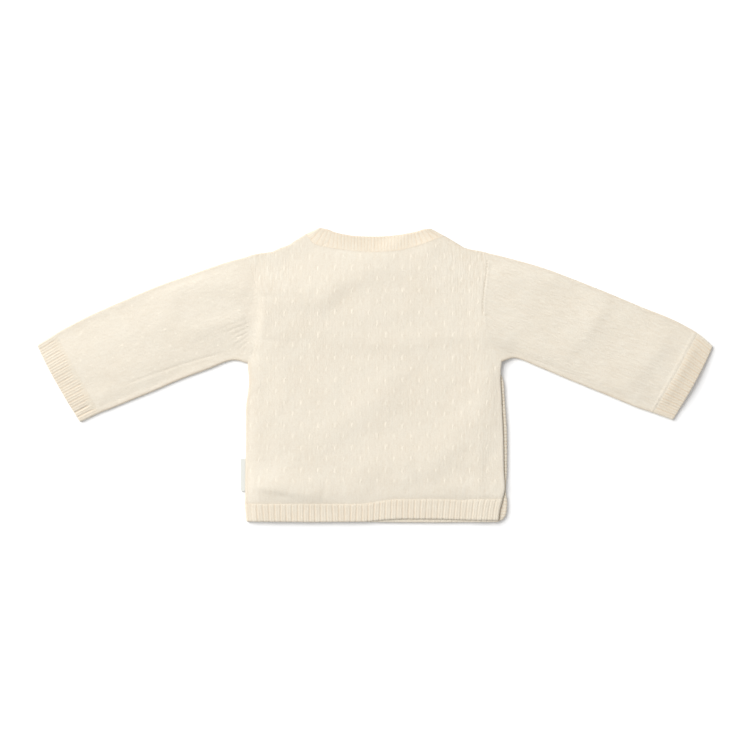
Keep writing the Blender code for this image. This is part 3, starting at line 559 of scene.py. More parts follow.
def tube_of(name, outer, inner, material, stitch, painted_shade):
    """A closed wall round a ring carried along its stations: fine outside, and inside with every
    fourth point."""
    every = 4
    rows, around = outer.shape[:2]
    keep_r = kept(rows, every)[0]
    keep_a = np.arange(0, around, every)
    near_a = np.round(np.arange(around) / every).astype(int) % len(keep_a)
    lining = inner[np.ix_(keep_r, keep_a)]
    r, a = lining.shape[:2]
    count = rows * around
    quads = np.concatenate([ring_quads(rows, around), ring_quads(r, a, count)[:, ::-1]])
    j = np.arange(around)
    first = rim(j, count + near_a)
    last = rim((rows - 1) * around + j, count + (r - 1) * a + near_a)[:, ::-1]
    points = np.concatenate([outer.reshape(-1, 3), lining.reshape(-1, 3)])
    quads, triangles = outward(points, quads, np.concatenate([first, last])[:, ::-1])
    stitch = np.concatenate([stitch.reshape(-1, 3), stitch[np.ix_(keep_r, keep_a)].reshape(-1, 3)])
    # Painted shade on the lining inside the tube.
    painted_shade = np.concatenate([painted_shade.ravel(), np.full(r * a, 0.6)])
    edge = np.concatenate([j, (rows - 1) * around + j])
    return put(name, points, quads, triangles, material, stitch, painted_shade, edge)


# ---------------------------------------------------------------- finishes
IVORY = (0.815, 0.755, 0.645)
RIB_IVORY = (0.795, 0.735, 0.62)
SHADE_AND_FLECK_TAN = (0.60, 0.45, 0.29)  # tan of the painted shade between the stitches, in seams, valleys and on folds, and of random blotches and flecks
RIB_SHADE_AND_FLECK_TAN = (0.68, 0.46, 0.26)  # tan of the painted shade between the ribs and stitches, and of the rib knit's random blotches and flecks
# The grey is painted shade in the low places of the tape's weave.
TAPE_WHITE, TAPE_SHADE_GREY = (0.69, 0.695, 0.645), (0.5, 0.52, 0.52)
CREAM, DARK_CREAM = (0.84, 0.78, 0.66), (0.74, 0.66, 0.52)
FLOOR = (0.93, 0.93, 0.93)
STITCH_DEEP = 0.28
TAPE_THREAD = 0.42  # pitch of the tape's threads


def node(tree, kind, *inputs, **settings):
    """A shader node with its settings, and with its inputs given in order as sockets or values."""
    made = tree.nodes.new(kind)
    for key, value in settings.items():
        setattr(made, key, value)
    for socket, value in zip(made.inputs, inputs):
        if isinstance(value, bpy.types.NodeSocket):
            tree.links.new(value, socket)
        elif value is not None:
            socket.default_value = value
    return made


def maths(tree, operation, *inputs):
    """What an operation on numbers gives."""
    return node(tree, "ShaderNodeMath", *inputs, operation=operation).outputs[0]


def vectors(tree, operation, *inputs):
    """What an operation on vectors gives."""
    return node(tree, "ShaderNodeVectorMath", *inputs, operation=operation).outputs[0]


def blank(name, roughness):
    """A named material, its node tree and its Principled shader."""
    material = bpy.data.materials.new(name)
    material.use_nodes = True
    tree = material.node_tree
    shader = tree.nodes["Principled BSDF"]
    shader.inputs["Roughness"].default_value = roughness
    shader.inputs["Metallic"].default_value = 0.0
    return material, tree, shader


def mixed(tree, share, one, other):
    """The colour one where share is 0, other where it is 1."""
    mix = tree.nodes.new("ShaderNodeMix")
    mix.data_type = "RGBA"
    for socket, value in ((mix.inputs[0], share), (mix.inputs[6], one), (mix.inputs[7], other)):
        if isinstance(value, bpy.types.NodeSocket):
            tree.links.new(value, socket)
        else:
            socket.default_value = (*value, 1.0) if isinstance(value, tuple) else value
    return mix.outputs[2]


def noise(tree, size_mm, detail=2.0, vector=None, output="Fac"):
    """Noise with features about size_mm across, on the piece's own coordinates or on a vector."""
    if vector is None:
        vector = node(tree, "ShaderNodeTexCoord").outputs["Object"]
    made = node(tree, "ShaderNodeTexNoise", vector)
    made.inputs["Scale"].default_value = 1.0 / (size_mm * MM)
    made.inputs["Detail"].default_value = detail
    return made.outputs[output]


def raise_by(tree, shader, height, strength, depth_mm):
    """Bump on a shader: the height that a socket gives times a depth."""
    bump = node(tree, "ShaderNodeBump")
    bump.inputs["Strength"].default_value = strength
    bump.inputs["Distance"].default_value = depth_mm * MM
    tree.links.new(height, bump.inputs["Height"])
    tree.links.new(bump.outputs["Normal"], shader.inputs["Normal"])


def knitted(name, colour, below, deep):
    """Cotton knit of one colour on top and another below, where it is deep: the knit is painted darker, as
    shade, between its stitches' legs and where its mesh's painted shade numbers are high (times deep), and
    it has random blotches and flecks of the darker colour. Each stitch is two plump legs that lean together
    into a V, in rows and wales.

    Across a wale a leg's height is 1 - (4 (|a| - 1/4))^2, where a runs from -1/2 to 1/2, and along
    it the height is 1 - (2 b - 1)^2, where b is the share of the course, counted down with |a|.
    """
    material, tree, shader = blank(name, 0.92)
    shader.inputs["Sheen Weight"].default_value = 0.22
    shader.inputs["Sheen Roughness"].default_value = 0.45
    shader.inputs["Specular IOR Level"].default_value = 0.25
    place = node(tree, "ShaderNodeAttribute", attribute_name="stitch").outputs["Vector"]
    wobble = vectors(tree, "SUBTRACT", noise(tree, 2.6, 1.0, output="Color"), (0.5, 0.5, 0.5))
    moved = vectors(tree, "ADD", place, vectors(tree, "MULTIPLY", wobble, (0.55, 0.55, 0.0)))
    split = node(tree, "ShaderNodeSeparateXYZ", moved).outputs
    off = maths(tree, "ABSOLUTE", maths(tree, "SUBTRACT", maths(tree, "FRACT", split[0]), 0.5))
    leg = maths(tree, "MULTIPLY", maths(tree, "SUBTRACT", off, 0.25), 4.0)
    leg = maths(tree, "SUBTRACT", 1.0, maths(tree, "MULTIPLY", leg, leg))
    row = maths(tree, "FRACT", maths(tree, "SUBTRACT", split[1], maths(tree, "MULTIPLY", off, 1.5)))
    row = maths(tree, "SUBTRACT", maths(tree, "MULTIPLY", row, 2.0), 1.0)
    row = maths(tree, "SUBTRACT", 1.0, maths(tree, "MULTIPLY", row, row))
    stitch = maths(tree, "MULTIPLY", leg, maths(tree, "MULTIPLY_ADD", row, 0.55, 0.45))
    streak = noise(tree, 1.0 / MM, 1.5, vectors(tree, "MULTIPLY", place, (0.8, 0.085, 0.0)))
    strength = node(tree, "ShaderNodeSeparateXYZ", place).outputs[2]
    streak = maths(tree, "MULTIPLY", maths(tree, "SUBTRACT", streak, 0.5), strength)
    painted_shade = node(tree, "ShaderNodeAttribute", attribute_name="painted_shade").outputs["Fac"]
    # Painted shade: darker between the legs of each stitch, where the stitch is low.
    gap = maths(tree, "MULTIPLY_ADD", stitch, -0.14, 0.17)
    blotch = maths(tree, "MULTIPLY_ADD", noise(tree, 26.0, 3.0), 0.2, -0.1)
    fleck = maths(tree, "MULTIPLY_ADD", noise(tree, 1.5, 2.0), 0.3, -0.15)
    shade = maths(tree, "ADD", maths(tree, "ADD", gap, blotch), fleck)
    shade = maths(tree, "MULTIPLY_ADD", streak, -0.45, shade)
    # Painted shade from the mesh's painted shade numbers, times deep.
    shade = maths(tree, "MAXIMUM", maths(tree, "MULTIPLY_ADD", painted_shade, deep, shade), 0.0)
    tree.links.new(mixed(tree, shade, colour, below), shader.inputs["Base Color"])
    fibre = noise(tree, 0.35, 3.0)
    height = maths(tree, "MULTIPLY_ADD", fibre, 0.35, maths(tree, "MULTIPLY_ADD", streak, 3.0, stitch))
    raise_by(tree, shader, height, 0.8, STITCH_DEEP)
    return material


def yarn(name, colour):
    """Bare yarn of raised and linking stitches: flecks of colour and fine fibres."""
    material, tree, shader = blank(name, 0.9)
    shader.inputs["Sheen Weight"].default_value = 0.25
    shader.inputs["Specular IOR Level"].default_value = 0.25
    fleck = maths(tree, "MULTIPLY_ADD", noise(tree, 1.1, 2.0), 0.2, -0.08)
    shade = mixed(tree, maths(tree, "MAXIMUM", fleck, 0.0), colour, SHADE_AND_FLECK_TAN)
    tree.links.new(shade, shader.inputs["Base Color"])
    raise_by(tree, shader, noise(tree, 0.4, 3.0), 0.5, 0.1)
    return material


def woven_tape(name):
    """White tape: warp and weft threads pass over each other, sin times sin, in a plain weave."""
    material, tree, shader = blank(name, 0.7)
    shader.inputs["Sheen Weight"].default_value = 0.15
    place = node(tree, "ShaderNodeTexCoord").outputs["Object"]
    split = node(tree, "ShaderNodeSeparateXYZ", place).outputs
    waves = [maths(tree, "SINE", maths(tree, "MULTIPLY", axis, 2 * np.pi / (TAPE_THREAD * MM)))
             for axis in (split[0], split[1])]
    weave = maths(tree, "MULTIPLY", *waves)
    # Painted shade: greyer where the weave is low.
    shade = maths(tree, "MULTIPLY_ADD", weave, -0.05, 0.05)
    tree.links.new(mixed(tree, shade, TAPE_WHITE, TAPE_SHADE_GREY), shader.inputs["Base Color"])
    raise_by(tree, shader, weave, 0.6, 0.08)
    return material


def pressed_button(name):
    """Satin cream resin with faint clouding and fine scuffs."""
    material, tree, shader = blank(name, 0.32)
    cloud = maths(tree, "MULTIPLY_ADD", noise(tree, 2.5, 3.0), 0.5, -0.1)
    tree.links.new(mixed(tree, cloud, CREAM, DARK_CREAM), shader.inputs["Base Color"])
    tree.links.new(maths(tree, "MULTIPLY_ADD", noise(tree, 0.6, 3.0), 0.2, 0.22), shader.inputs["Roughness"])
    return material


KNIT = knitted("ivory plain knit", IVORY, SHADE_AND_FLECK_TAN, 0.8)
RIB = knitted("ivory rib knit", RIB_IVORY, RIB_SHADE_AND_FLECK_TAN, 0.5)
RAISED = yarn("ivory raised yarn", (0.79, 0.728, 0.615))
LINKING = yarn("ivory linking yarn", (0.82, 0.76, 0.645))
TAPE = woven_tape("white woven tape")
RESIN = pressed_button("cream button resin")
THREAD = yarn("cream sewing thread", (0.85, 0.80, 0.70))

# ---------------------------------------------------------------- the body's outline
SEAM = 0.03  # between two linked edges on the side that shows
SIDE_LINE = dense(SIDES)
NECK_LINE = dense(NECK_BAND)
SHOULDERS = {"left": dense(SHOULDER_LEFT), "right": dense(SHOULDER_RIGHT)}
BACK_TOP = np.concatenate([
    SHOULDERS["left"][:-1],
    NECK_LINE[:, 2:4] - np.array([0.0, SEAM]),
    SHOULDERS["right"][1:],
])


def side_x(side, y):
    """Place of a side of the body at heights y."""
    return np.interp(y, SIDE_LINE[:, 0], SIDE_LINE[:, 1 if side == "left" else 2])


def armhole(side, w, shift=0.0):
    """An armhole seam: the straight line from shoulder to armpit, bowed in by bow x sin(pi w^skew)."""
    hole = ARMHOLES[side]
    top, low = np.array(hole["shoulder"]), np.array(hole["armpit"])
    w = np.clip(np.asarray(w, float), 0.0, 1.0)
    points = top + (low - top) * w[..., None]
    points[..., 0] += hole["bow"] * np.sin(np.pi * w ** hole["skew"]) + shift
    return points


def panel_side(side, v, shift):
    """A panel's outer edge at shares v of its height: side seam to the armpit, then the armhole."""
    v = np.asarray(v, float)
    start, pit = HEM_SEAM_Y + SEAM / 2, ARMHOLES[side]["armpit"][1]
    y = start + (pit - start) * v / ARMPIT_SHARE
    seam = np.stack([side_x(side, y), y], axis=-1)
    hole = armhole(side, (1.0 - v) / (1.0 - ARMPIT_SHARE), shift)
    return np.where((v <= ARMPIT_SHARE)[..., None], seam, hole)


def between(left, right, top, u, v):
    """Places u of the way from the left edge to the right one at a share v of the height. The bottom
    edge is straight, and how far the top edge is from straight dies out evenly down to it."""
    u, v = np.broadcast_arrays(np.asarray(u, float), np.asarray(v, float))
    a, b, one = u[..., None], v[..., None], np.ones(1)
    return (1 - a) * left(v) + a * right(v) + b * (top(u) - (1 - a) * left(one) - a * right(one))


def garment_outline():
    """The laid garment's outline, round from the left end of its hem. It runs on past the cuffs'
    open ends, so that they stay full."""
    sides = {}
    for side in ("left", "right"):
        rows = along(SLEEVES[side], np.linspace(0, 1, 25))
        rows = np.concatenate([rows, rows[-1:] + 6.0 * (rows[-1:] - rows[-2:-1])])
        sides[side] = np.concatenate([rows[:, 2:4], rows[::-1, 0:2]])
    up = np.linspace(HEM_SEAM_Y - 18.0, 10.0, 12)
    left = np.stack([side_x("left", up), up], axis=1)
    right = np.stack([side_x("right", up[::-1]), up[::-1]], axis=1)
    return np.concatenate([left, sides["left"], SHOULDERS["left"][1::60], NECK_LINE[::30, :2],
                           SHOULDERS["right"][::60][1:], sides["right"][::-1], right])


OUTLINE = garment_outline()


def groove(w):
    """How open the right armhole's groove is, w of the way from shoulder to armpit."""
    return smooth((w - 0.05) / 0.06) * (1.0 - smooth((w - 0.52) / 0.08))


def armhole_dip(side, w, d, on_sleeve):
    """How far the cloth dips at a distance d from an armhole seam, w of the way from shoulder to
    armpit. The left seam is one soft ridge on the back that starts a third of the way down, steeper
    towards the sleeve. The right one is a narrow groove that ends half way, with a low ridge beside
    it on the sleeve."""
    if side == "left":
        part = smooth((w - 0.28) / 0.2) * (1.0 - smooth((w - 0.8) / 0.15))
        away = (-d if on_sleeve else d) - 4.0
        return -0.27 * part * bell(away, np.where(away < 0, 2.8, 6.0))
    ridge = 0.16 * smooth((w - 0.05) / 0.06) * (1.0 - smooth((w - 0.6) / 0.2))
    beside = d - 2.6 if on_sleeve else d + 2.6
    return 0.5 * groove(w) * bell(d, 0.7) - ridge * bell(beside, 1.8)


NECK_CORNER = NECK_BAND[-1, 2]
NECK_FAN = 30.0  # how far from the middle the neck band's ribs start to fan out
NECK_RIDGE = -0.12  # the cloth's dip along the neck's seam, below 0 for a ridge
HEM_DIP = 0.35  # and along the hem's seam
BESIDE_RAISED_SHADE = 0.09  # painted shade on the knit to both sides of a raised stitch
FOLD_PAINTED_SHADE = 0.3  # painted shade on a folded edge


def hem_wave(x, y):
    """How far the knit round the hem's seam lies above a straight seam: low on the left, then up a
    smooth step, with one dip on the right. It dies out at HEM_REACH from the seam."""
    rise = -2.7 + 4.4 * smooth((x + 16.0) / 38.0) - 0.9 * bell(x - 80.0, 9.0)
    return rise * (1.0 - smooth(np.abs(y - HEM_SEAM_Y) / HEM_REACH))


def uneven(x, y):
    """The knit's own unevenness: lumps of about 24, 9 and 4 mm, wider than high."""
    return (0.20 * lumps(x / 1.3, y, 24.0, 3) + 0.13 * lumps(x / 1.5, y, 9.0, 1)
            + 0.07 * lumps(x / 1.4, y, 4.0, 2))


def beside_raised(x, y):
    """Where shade is painted beside a raised stitch: 1 on the wales to both sides of it, 0 clear of them,
    for the nearest one.
    """
    row = np.round((DASH_START[1] - y) / DASH_DOWN)
    dy = y - DASH_START[1] + DASH_DOWN * row
    along_row = (x - DASH_START[0]) / DASH_ACROSS - 0.5 * (row % 2)
    dx = (along_row - np.round(along_row)) * DASH_ACROSS - DASH_LEAN * dy
    return bell(np.abs(dx) - 2.5, 1.0) * bell(dy, 2.8)


# ---------------------------------------------------------------- the back
BACK_WIDTH = ARMHOLES["right"]["shoulder"][0] - ARMHOLES["left"]["shoulder"][0]


def back_place(u, v):
    """Places of the back: between its two sides, the hem seam, and the shoulders and neck."""
    def left(v):
        return panel_side("left", v, SEAM / 2)

    def right(v):
        return panel_side("right", v, -SEAM / 2)

    def top(u):
        x = left(np.ones(1))[0, 0] + np.asarray(u) * BACK_WIDTH
        return np.stack([x, np.interp(x, BACK_TOP[:, 0], BACK_TOP[:, 1])], axis=-1)

    return between(left, right, top, u, v)


def back_faces(u, v):
    """Upper and lower faces of the back, at the height of what it lies on, plus air and creases that die
    out at every edge, plus the cloth; and its painted shade in the seams and on the folded edges."""
    u, v = np.broadcast_arrays(u, v)
    p = back_place(u, v)
    x, y = p[..., 0], p[..., 1]
    side = np.minimum(u, 1 - u) * BACK_WIDTH
    top = (1 - v) * BODY_HEIGHT
    from_hem = y - HEM_SEAM_Y
    y = y + hem_wave(x, y)
    resting = back_floor(x, y)
    lower = resting + air(x, y, resting)
    sewn_side = v > ARMPIT_SHARE
    at_neck = np.abs(x) < NECK_CORNER
    w = (1 - v) / (1 - ARMPIT_SHARE)
    by_arm = np.where(u < 0.5, armhole_dip("left", w, side, False), armhole_dip("right", w, side, False))
    dip = np.where(sewn_side, by_arm, turned(side))
    at_top = np.where(at_neck, NECK_RIDGE * bell(top, 1.1), turned(top))
    dip = np.where(at_neck, dip + at_top, np.where(at_top > 0, np.maximum(dip, at_top), dip))
    dip = dip + HEM_DIP * bell(from_hem, 2.4)
    small = smooth(room(x, y) / 5.0) * smooth(from_hem / 5.0)
    upper = lower + CLOTH - dip + uneven(x, y) * small + creases(x, y, FINE_LINES)
    # Painted shade: in the hem's seam, the right armhole's groove and the neck's seam, and on the folded
    # edges at the left side and the shoulders.
    painted_shade = 0.12 * bell(from_hem, 1.6)
    painted_shade = painted_shade + np.where(sewn_side & (u > 0.5), 0.3 * groove(w), 0.0) * bell(side, 0.7)
    painted_shade = painted_shade + np.where(at_neck, 0.2 * bell(top, 0.9), 0.0)
    painted_shade = painted_shade + np.where(sewn_side | (u > 0.5), 0.0, FOLD_PAINTED_SHADE * bell(side, 2.5))
    painted_shade = painted_shade + np.where(at_neck, 0.0, FOLD_PAINTED_SHADE * bell(top, 1.8))
    return *faces_at(x, y, upper, lower), painted_shade


def body_rows(step):
    """Shares up a panel: even, and close together on the turn at the top."""
    even = np.linspace(0, BODY_HEIGHT - FOLD, int(BODY_HEIGHT / step))
    return np.concatenate([even[:-1], BODY_HEIGHT - on_turn(4)[:0:-1], [BODY_HEIGHT]]) / BODY_HEIGHT


u = (from_edge(BACK_WIDTH, STEP) / BACK_WIDTH)[:, None]
upper, lower, painted_shade = back_faces(u, body_rows(STEP)[None])
x, y = upper[..., 0], upper[..., 1]
# Painted shade to both sides of each raised stitch.
painted_shade = painted_shade + BESIDE_RAISED_SHADE * beside_raised(x, y) * smooth((y - HEM_SEAM_Y) / 6.0)
# The streaks are strongest on both shoulders, and stronger by the right side than by the left.
yoke = smooth((y - 62.0) / 30.0) * smooth((np.abs(x + 4.0) - 55.0) / 25.0)
back_stitches = stitches(x / WALE, y / COURSE, 0.3 + 0.5 * yoke + 0.2 * smooth((x - 60.0) / 30.0))
back = sheet_of("cardigan_back", upper, lower, KNIT, back_stitches, painted_shade)


# ---------------------------------------------------------------- ribs
def dome(phase, dent=0.42):
    """A rib's cross-section, 1 on its crest and 0 in the narrow valley, for q = |2 f - 1| at a share
    f of its pitch: (1 - q^2.4)^0.75, dented between its two wales by dent x exp(-(q / 0.22)^2)."""
    q = np.abs(2.0 * (phase - np.floor(phase)) - 1.0)
    return (1.0 - q**2.4) ** 0.75 * (1.0 - dent * bell(q, 0.22))


def valley(crest):
    """How deep in the valley beside a rib a place lies, used as the painted shade there."""
    return (1 - crest) ** 1.5


def make_back_hem():
    """The back's hem rib, linked to the back and cast off along its lower edge."""
    line = HEM_SEAM_Y - SEAM / 2
    ribs = int(round((BACK_RIGHT - BACK_LEFT) / HEM_PITCH))
    u = np.linspace(0, 1, 12 * ribs + 1)[:, None]
    rows = 1.0 - np.concatenate([np.linspace(1, 0.08, 22), [0.05, 0.025, 0.008, 0.0]])[None]
    wide = side_x("right", line) - side_x("left", line)
    bottom = np.interp(side_x("left", line) + wide * u, HEM[:, 0], HEM[:, 1])
    crest = dome(ribs * u + 0.1 * lumps(u * 300, rows * 9, 14.0, 5))
    y = line + (bottom - line - 0.45 * crest) * rows
    x = side_x("left", line) + wide * u
    x = x + (side_x("left", y) - side_x("left", line)) * (1 - u) ** 5
    x = x + (side_x("right", y) - side_x("right", line)) * u**5
    top, base = line - y, y - bottom + 0.45 * crest
    side = np.minimum(x - side_x("left", y), side_x("right", y) - x)
    y = y + hem_wave(x, y)
    resting = back_floor(x, y)
    lower = resting + air(x, y, resting)
    lift = smooth(top / 1.8) * (0.55 + 0.45 * smooth(base / 1.5)) * (0.25 + 0.75 * smooth((u - 0.02) / 0.02))
    dip = np.maximum(turned(side), turned(base, 1.3, 1.1))
    upper = lower + CLOTH - 0.2 * smooth(top / 1.8) + HEM_RIB * crest * lift - dip
    upper = upper + 0.12 * lumps(x, y, 11.0, 6) * smooth(top / 3.0) - HEM_DIP * bell(top, 1.0)
    # Painted shade in the rib valleys, lighter over the thick band, where the ribs lie more open, and
    # lightest at its end. The hem's seam and its folded left end get painted shade too.
    shut = 0.6 - 0.2 * smooth((u - 0.5) / 0.3) - 0.2 * smooth((u - 0.85) / 0.1)
    painted_shade = shut * valley(crest) * lift + 0.12 * bell(top, 1.2)
    painted_shade = painted_shade + np.where(u < 0.5, FOLD_PAINTED_SHADE * bell(side, 5.0), 0.0)
    stitch = stitches(4 * ribs * u, y / COURSE)
    return sheet_of("cardigan_back_hem", *faces_at(x, y, upper, lower), RIB, stitch, painted_shade, every=4)


back_hem = make_back_hem()


def make_neck_band():
    """The neck band: 1x1 ribs, upright in the middle and fanned out at both ends."""
    free, seam = NECK_LINE[:, 0:2], NECK_LINE[:, 2:4]
    length = running(free)[-1]
    ribs = int(round(length / BAND_PITCH))
    t = np.unique(np.concatenate([
        np.linspace(0, 1, 10 * ribs + 1),
        on_turn(4) / length,
        1 - on_turn(4) / length,
    ]))[:, None]
    s = np.concatenate([np.linspace(0, 0.9, 20), [0.93, 0.96, 0.985, 1.0]])[None]
    end = at_share(free, t)
    fan = smooth((np.abs(end[..., 0]) - NECK_FAN) / (free[-1, 0] - NECK_FAN))
    root_x = end[..., 0] * (1.0 + (seam[-1, 0] / free[-1, 0] - 1.0) * fan)
    root = np.stack([root_x, np.interp(root_x, seam[:, 0], seam[:, 1])], axis=-1)
    crest = dome(ribs * t + 0.04 * lumps(t * 200, s * 7, 9.0, 8), 0.0)
    p = root + (end - root) * (s + 0.02 * crest * smooth((s - 0.9) / 0.1))[..., None]
    x, y = p[..., 0], p[..., 1]
    high = np.linalg.norm(end - root, axis=-1)
    from_seam, from_free = s * high, (1 - s) * high
    from_end = np.minimum(t, 1 - t) * length
    resting = back_floor(x, y)
    lower = resting + air(x, y, resting)
    lift = (0.2 + 0.8 * smooth(from_seam / 1.8)) * (0.5 + 0.5 * smooth(from_free / 1.4))
    upper = lower + CLOTH - 0.1 * smooth(from_seam / 1.8) + NECK_RIB * crest * lift
    upper = upper - np.maximum(turned(from_end), turned(from_free, 1.4, 1.1))
    upper = upper - NECK_RIDGE * bell(from_seam, 1.1) + creases(x, y, FINE_LINES)
    upper = upper + uneven(x, y) * smooth(room(x, y) / 5.0) * (0.4 + 0.6 * bell(from_seam, 4.0))
    # The neck band's own tone is a little darker all over (0.1); the rest is painted shade in the rib
    # valleys, along the seam and on the folded free edge.
    painted_shade = 0.1 + 0.55 * valley(crest) * smooth(from_seam / 1.5) + 0.2 * bell(from_seam, 0.9)
    painted_shade = painted_shade + FOLD_PAINTED_SHADE * bell(from_free, 1.2)
    stitch = stitches(2 * ribs * t + 0.5, from_seam / COURSE)
    return sheet_of("cardigan_neck_band", *faces_at(x, y, upper, lower), RIB, stitch, painted_shade, every=4)


neck_band = make_neck_band()


# ---------------------------------------------------------------- fronts
def band_seam(band, side):
    """The seam between a front and its band as a chain, a gap in from the band, down to the hem."""
    seam = dense(band)[:, 2:4]
    inward = np.stack([np.gradient(seam[:, 1]), -np.gradient(seam[:, 0])], axis=1)
    return seam + INWARD[side] * GAP * unit(inward)


def make_front(layer, side, band, lifted):
    """A front between its side and armhole, its shoulder and its band. Its lower face shows."""
    shift = INWARD[side] * GAP / 2
    shoulder = SHOULDER_LEFT if side == "left" else SHOULDER_RIGHT[::-1]
    seam = band_seam(band, side)
    back_along = shoulder[-2] - shoulder[-1]
    seam[0] = shoulder[-1] + 2 * GAP * unit(back_along)
    line = HEM_SEAM_Y + GAP / 2
    seam = seam[seam[:, 1] >= line]
    seam = np.concatenate([seam, [[seam[-1, 0], line]]])

    def outside(v):
        return panel_side(side, v, shift)

    def inside(v):
        return at_share(seam, 1.0 - np.asarray(v))

    chain = np.concatenate([outside(np.ones(1)), shoulder[1:-1], seam[:1]])

    def top(u):
        return at_share(chain, u)

    wide = abs(inside(0)[0] - outside(0)[0])
    u = np.concatenate([on_turn(4)[:-1], np.linspace(FOLD, wide, int(wide / PLAIN_STEP))])[:, None] / wide
    v = body_rows(PLAIN_STEP)[None]
    xy = between(outside, inside, top, u, v)
    x, y = xy[..., 0], xy[..., 1]
    from_side = np.abs(x - outside(np.broadcast_to(v, x.shape))[..., 0])
    turn = np.maximum(np.where(v <= ARMPIT_SHARE, turned(from_side), 0.0), turned((1 - v) * BODY_HEIGHT))
    floor = inner_floor(x, y, lifted)
    faces = faces_at(x, y, floor + turn, floor + CLOTH)
    stitch = stitches(x / WALE, y / COURSE)
    return sheet_of(f"cardigan_{layer}_front", *faces, KNIT, stitch, 0 * x, every=2)


def make_front_hem(layer, side, band, lifted):
    """A front's hem rib. Its ribs stand on its lower face, and on the upper one where it peeks out
    from under the back's hem."""
    line = HEM_SEAM_Y - GAP / 2
    seam = band_seam(band, side)[::-1]
    wide = abs(np.interp(line, seam[:, 1], seam[:, 0]) - side_x(side, line))
    ribs = int(round(wide / HEM_PITCH))
    u = np.unique(np.concatenate([on_turn(4)[:-1] / wide, np.linspace(0, 1, 8 * ribs + 1)]))[:, None]
    rows = 1.0 - np.concatenate([np.linspace(1, 0.1, 12), [0.06, 0.03, 0.01, 0.0]])[None]
    guess = side_x(side, line) + INWARD[side] * wide * u
    bottom = np.interp(guess, HEM[:, 0], HEM[:, 2])
    crest = dome(ribs * u + 0.08 * lumps(u * 300, rows * 9, 14.0, 11))
    y = line + (bottom - line - 0.35 * crest) * rows
    x = side_x(side, y) * (1 - u) + np.interp(y, seam[:, 1], seam[:, 0]) * u
    floor = inner_floor(x, y, lifted)
    base = y - bottom + 0.35 * crest
    dip = turned(np.abs(x - side_x(side, y)))
    lower = floor + np.maximum(dip, 0.5 * (1 - crest) * smooth((line - y) / 2.0))
    peeks = smooth((np.interp(x, HEM[:, 0], HEM[:, 1]) - y) / 1.2)
    upper = floor + CLOTH - turned(base, 1.0, 0.7) + 0.5 * HEM_RIB * crest * peeks
    # Painted shade in the rib valleys, and painted shadow where the hem peeks out from under the back's hem.
    painted_shade = 0.8 * valley(crest) + 0.3 * peeks
    stitch = stitches(4 * ribs * u, y / COURSE)
    faces = faces_at(x, y, lower, upper)
    return sheet_of(f"cardigan_{layer}_front_hem", *faces, RIB, stitch, painted_shade, fine_lower=True)


def make_front_band(layer, band, lifted):
    """A front band in 1x1 ribs across it: valleys in its lower face all along, ribs on its upper
    face where it comes out past the back, and a recess pressed up into it over each button."""
    chain = dense(band)
    length = running(chain)[-1]
    ribs = int(round(length / BAND_PITCH))
    t = np.unique(np.concatenate([on_turn(4)[:-1] / length, np.linspace(0, 1, 9 * ribs + 1)]))[:, None]
    by_free = [0.58, 0.65, 0.72, 0.78, 0.84, 0.89, 0.93, 0.96, 0.985, 1]
    s = np.concatenate([np.linspace(0, 0.5, 6), by_free])[None]
    rows = at_share(chain, t[:, 0])
    free, seam, thick = rows[:, None, 0:2], rows[:, None, 2:4], rows[:, None, 4]
    reach = np.linalg.norm(free - seam, axis=-1)
    crest = dome(ribs * t + 0.06 * lumps(t * 250, s * 6, 8.0, 13), 0.0)
    xy = seam + (free - seam) * s[..., None]
    xy = xy + (free - seam) / reach[..., None] * (0.3 * crest * smooth((s - 0.85) / 0.15))[..., None]
    x, y = xy[..., 0], xy[..., 1]
    floor = inner_floor(x, y, lifted)
    edge = (1 - s) * reach
    shows = 0.0 if lifted else smooth((BAND_SHOWS_Y - y) / 3.0)
    lift = shows * smooth((3.3 - edge) / 1.2)
    stands = 1.2 * shows * smooth((x - side_x("right", y) - 0.2) / 0.7)
    upper = floor + thick - turned(edge, 1.5, 1.0) + BAND_RIB * crest * lift + stands
    between_ribs = 0.45 * (1 - crest) * smooth(s / 0.12)
    pressed = np.zeros_like(x)
    if not lifted:
        for bx, by in BUTTONS:
            past = np.hypot(x - bx, y - by) - BUTTON_RADIUS - 0.3
            pressed = np.maximum(pressed, (BUTTON_THICK + 0.2) * (1.0 - smooth(past / 1.4)))
    dip = np.maximum(turned(t * length) * np.ones_like(x), turned(edge, 1.5, 0.7))
    lower = floor + np.maximum(np.maximum(between_ribs, pressed), dip)
    # Painted shade in the rib valleys.
    painted_shade = 0.8 * valley(crest) * np.ones_like(x)
    stitch = stitches(2 * ribs * t + 0.5, edge / COURSE)
    faces = faces_at(x, y, upper, lower)
    return sheet_of(f"cardigan_{layer}_front_band", *faces, RIB, stitch, painted_shade, fine_lower=True)


BUTTON_RADIUS = 5.5
BUTTON_THICK = 1.3
HOLE_OFF = 1.2  # how far its four holes are from its middle, along X and along Y
BUTTON_HEIGHTS = (-18.0, -62.0, -105.0)
BAND_DOWN = dense(OUTER_BAND)[::-1]
BUTTONS = [(np.interp(y, BAND_DOWN[:, 1], (BAND_DOWN[:, 0] + BAND_DOWN[:, 2]) / 2), y)
           for y in BUTTON_HEIGHTS]

FRONTS = (("outer", "left", OUTER_BAND, False), ("inner", "right", INNER_BAND, True))
outer_front, inner_front = (make_front(*front) for front in FRONTS)
outer_hem, inner_hem = (make_front_hem(*front) for front in FRONTS)
outer_band, inner_band = (make_front_band(layer, band, lifted) for layer, _, band, lifted in FRONTS)


# ---------------------------------------------------------------- sleeves and cuffs
def sleeve_way(side, first, last):
    """The way from one row of a sleeve's table to another, half way between its two edges."""
    return unit((SLEEVES[side][last] - SLEEVES[side][first]).reshape(2, 2).mean(axis=0))


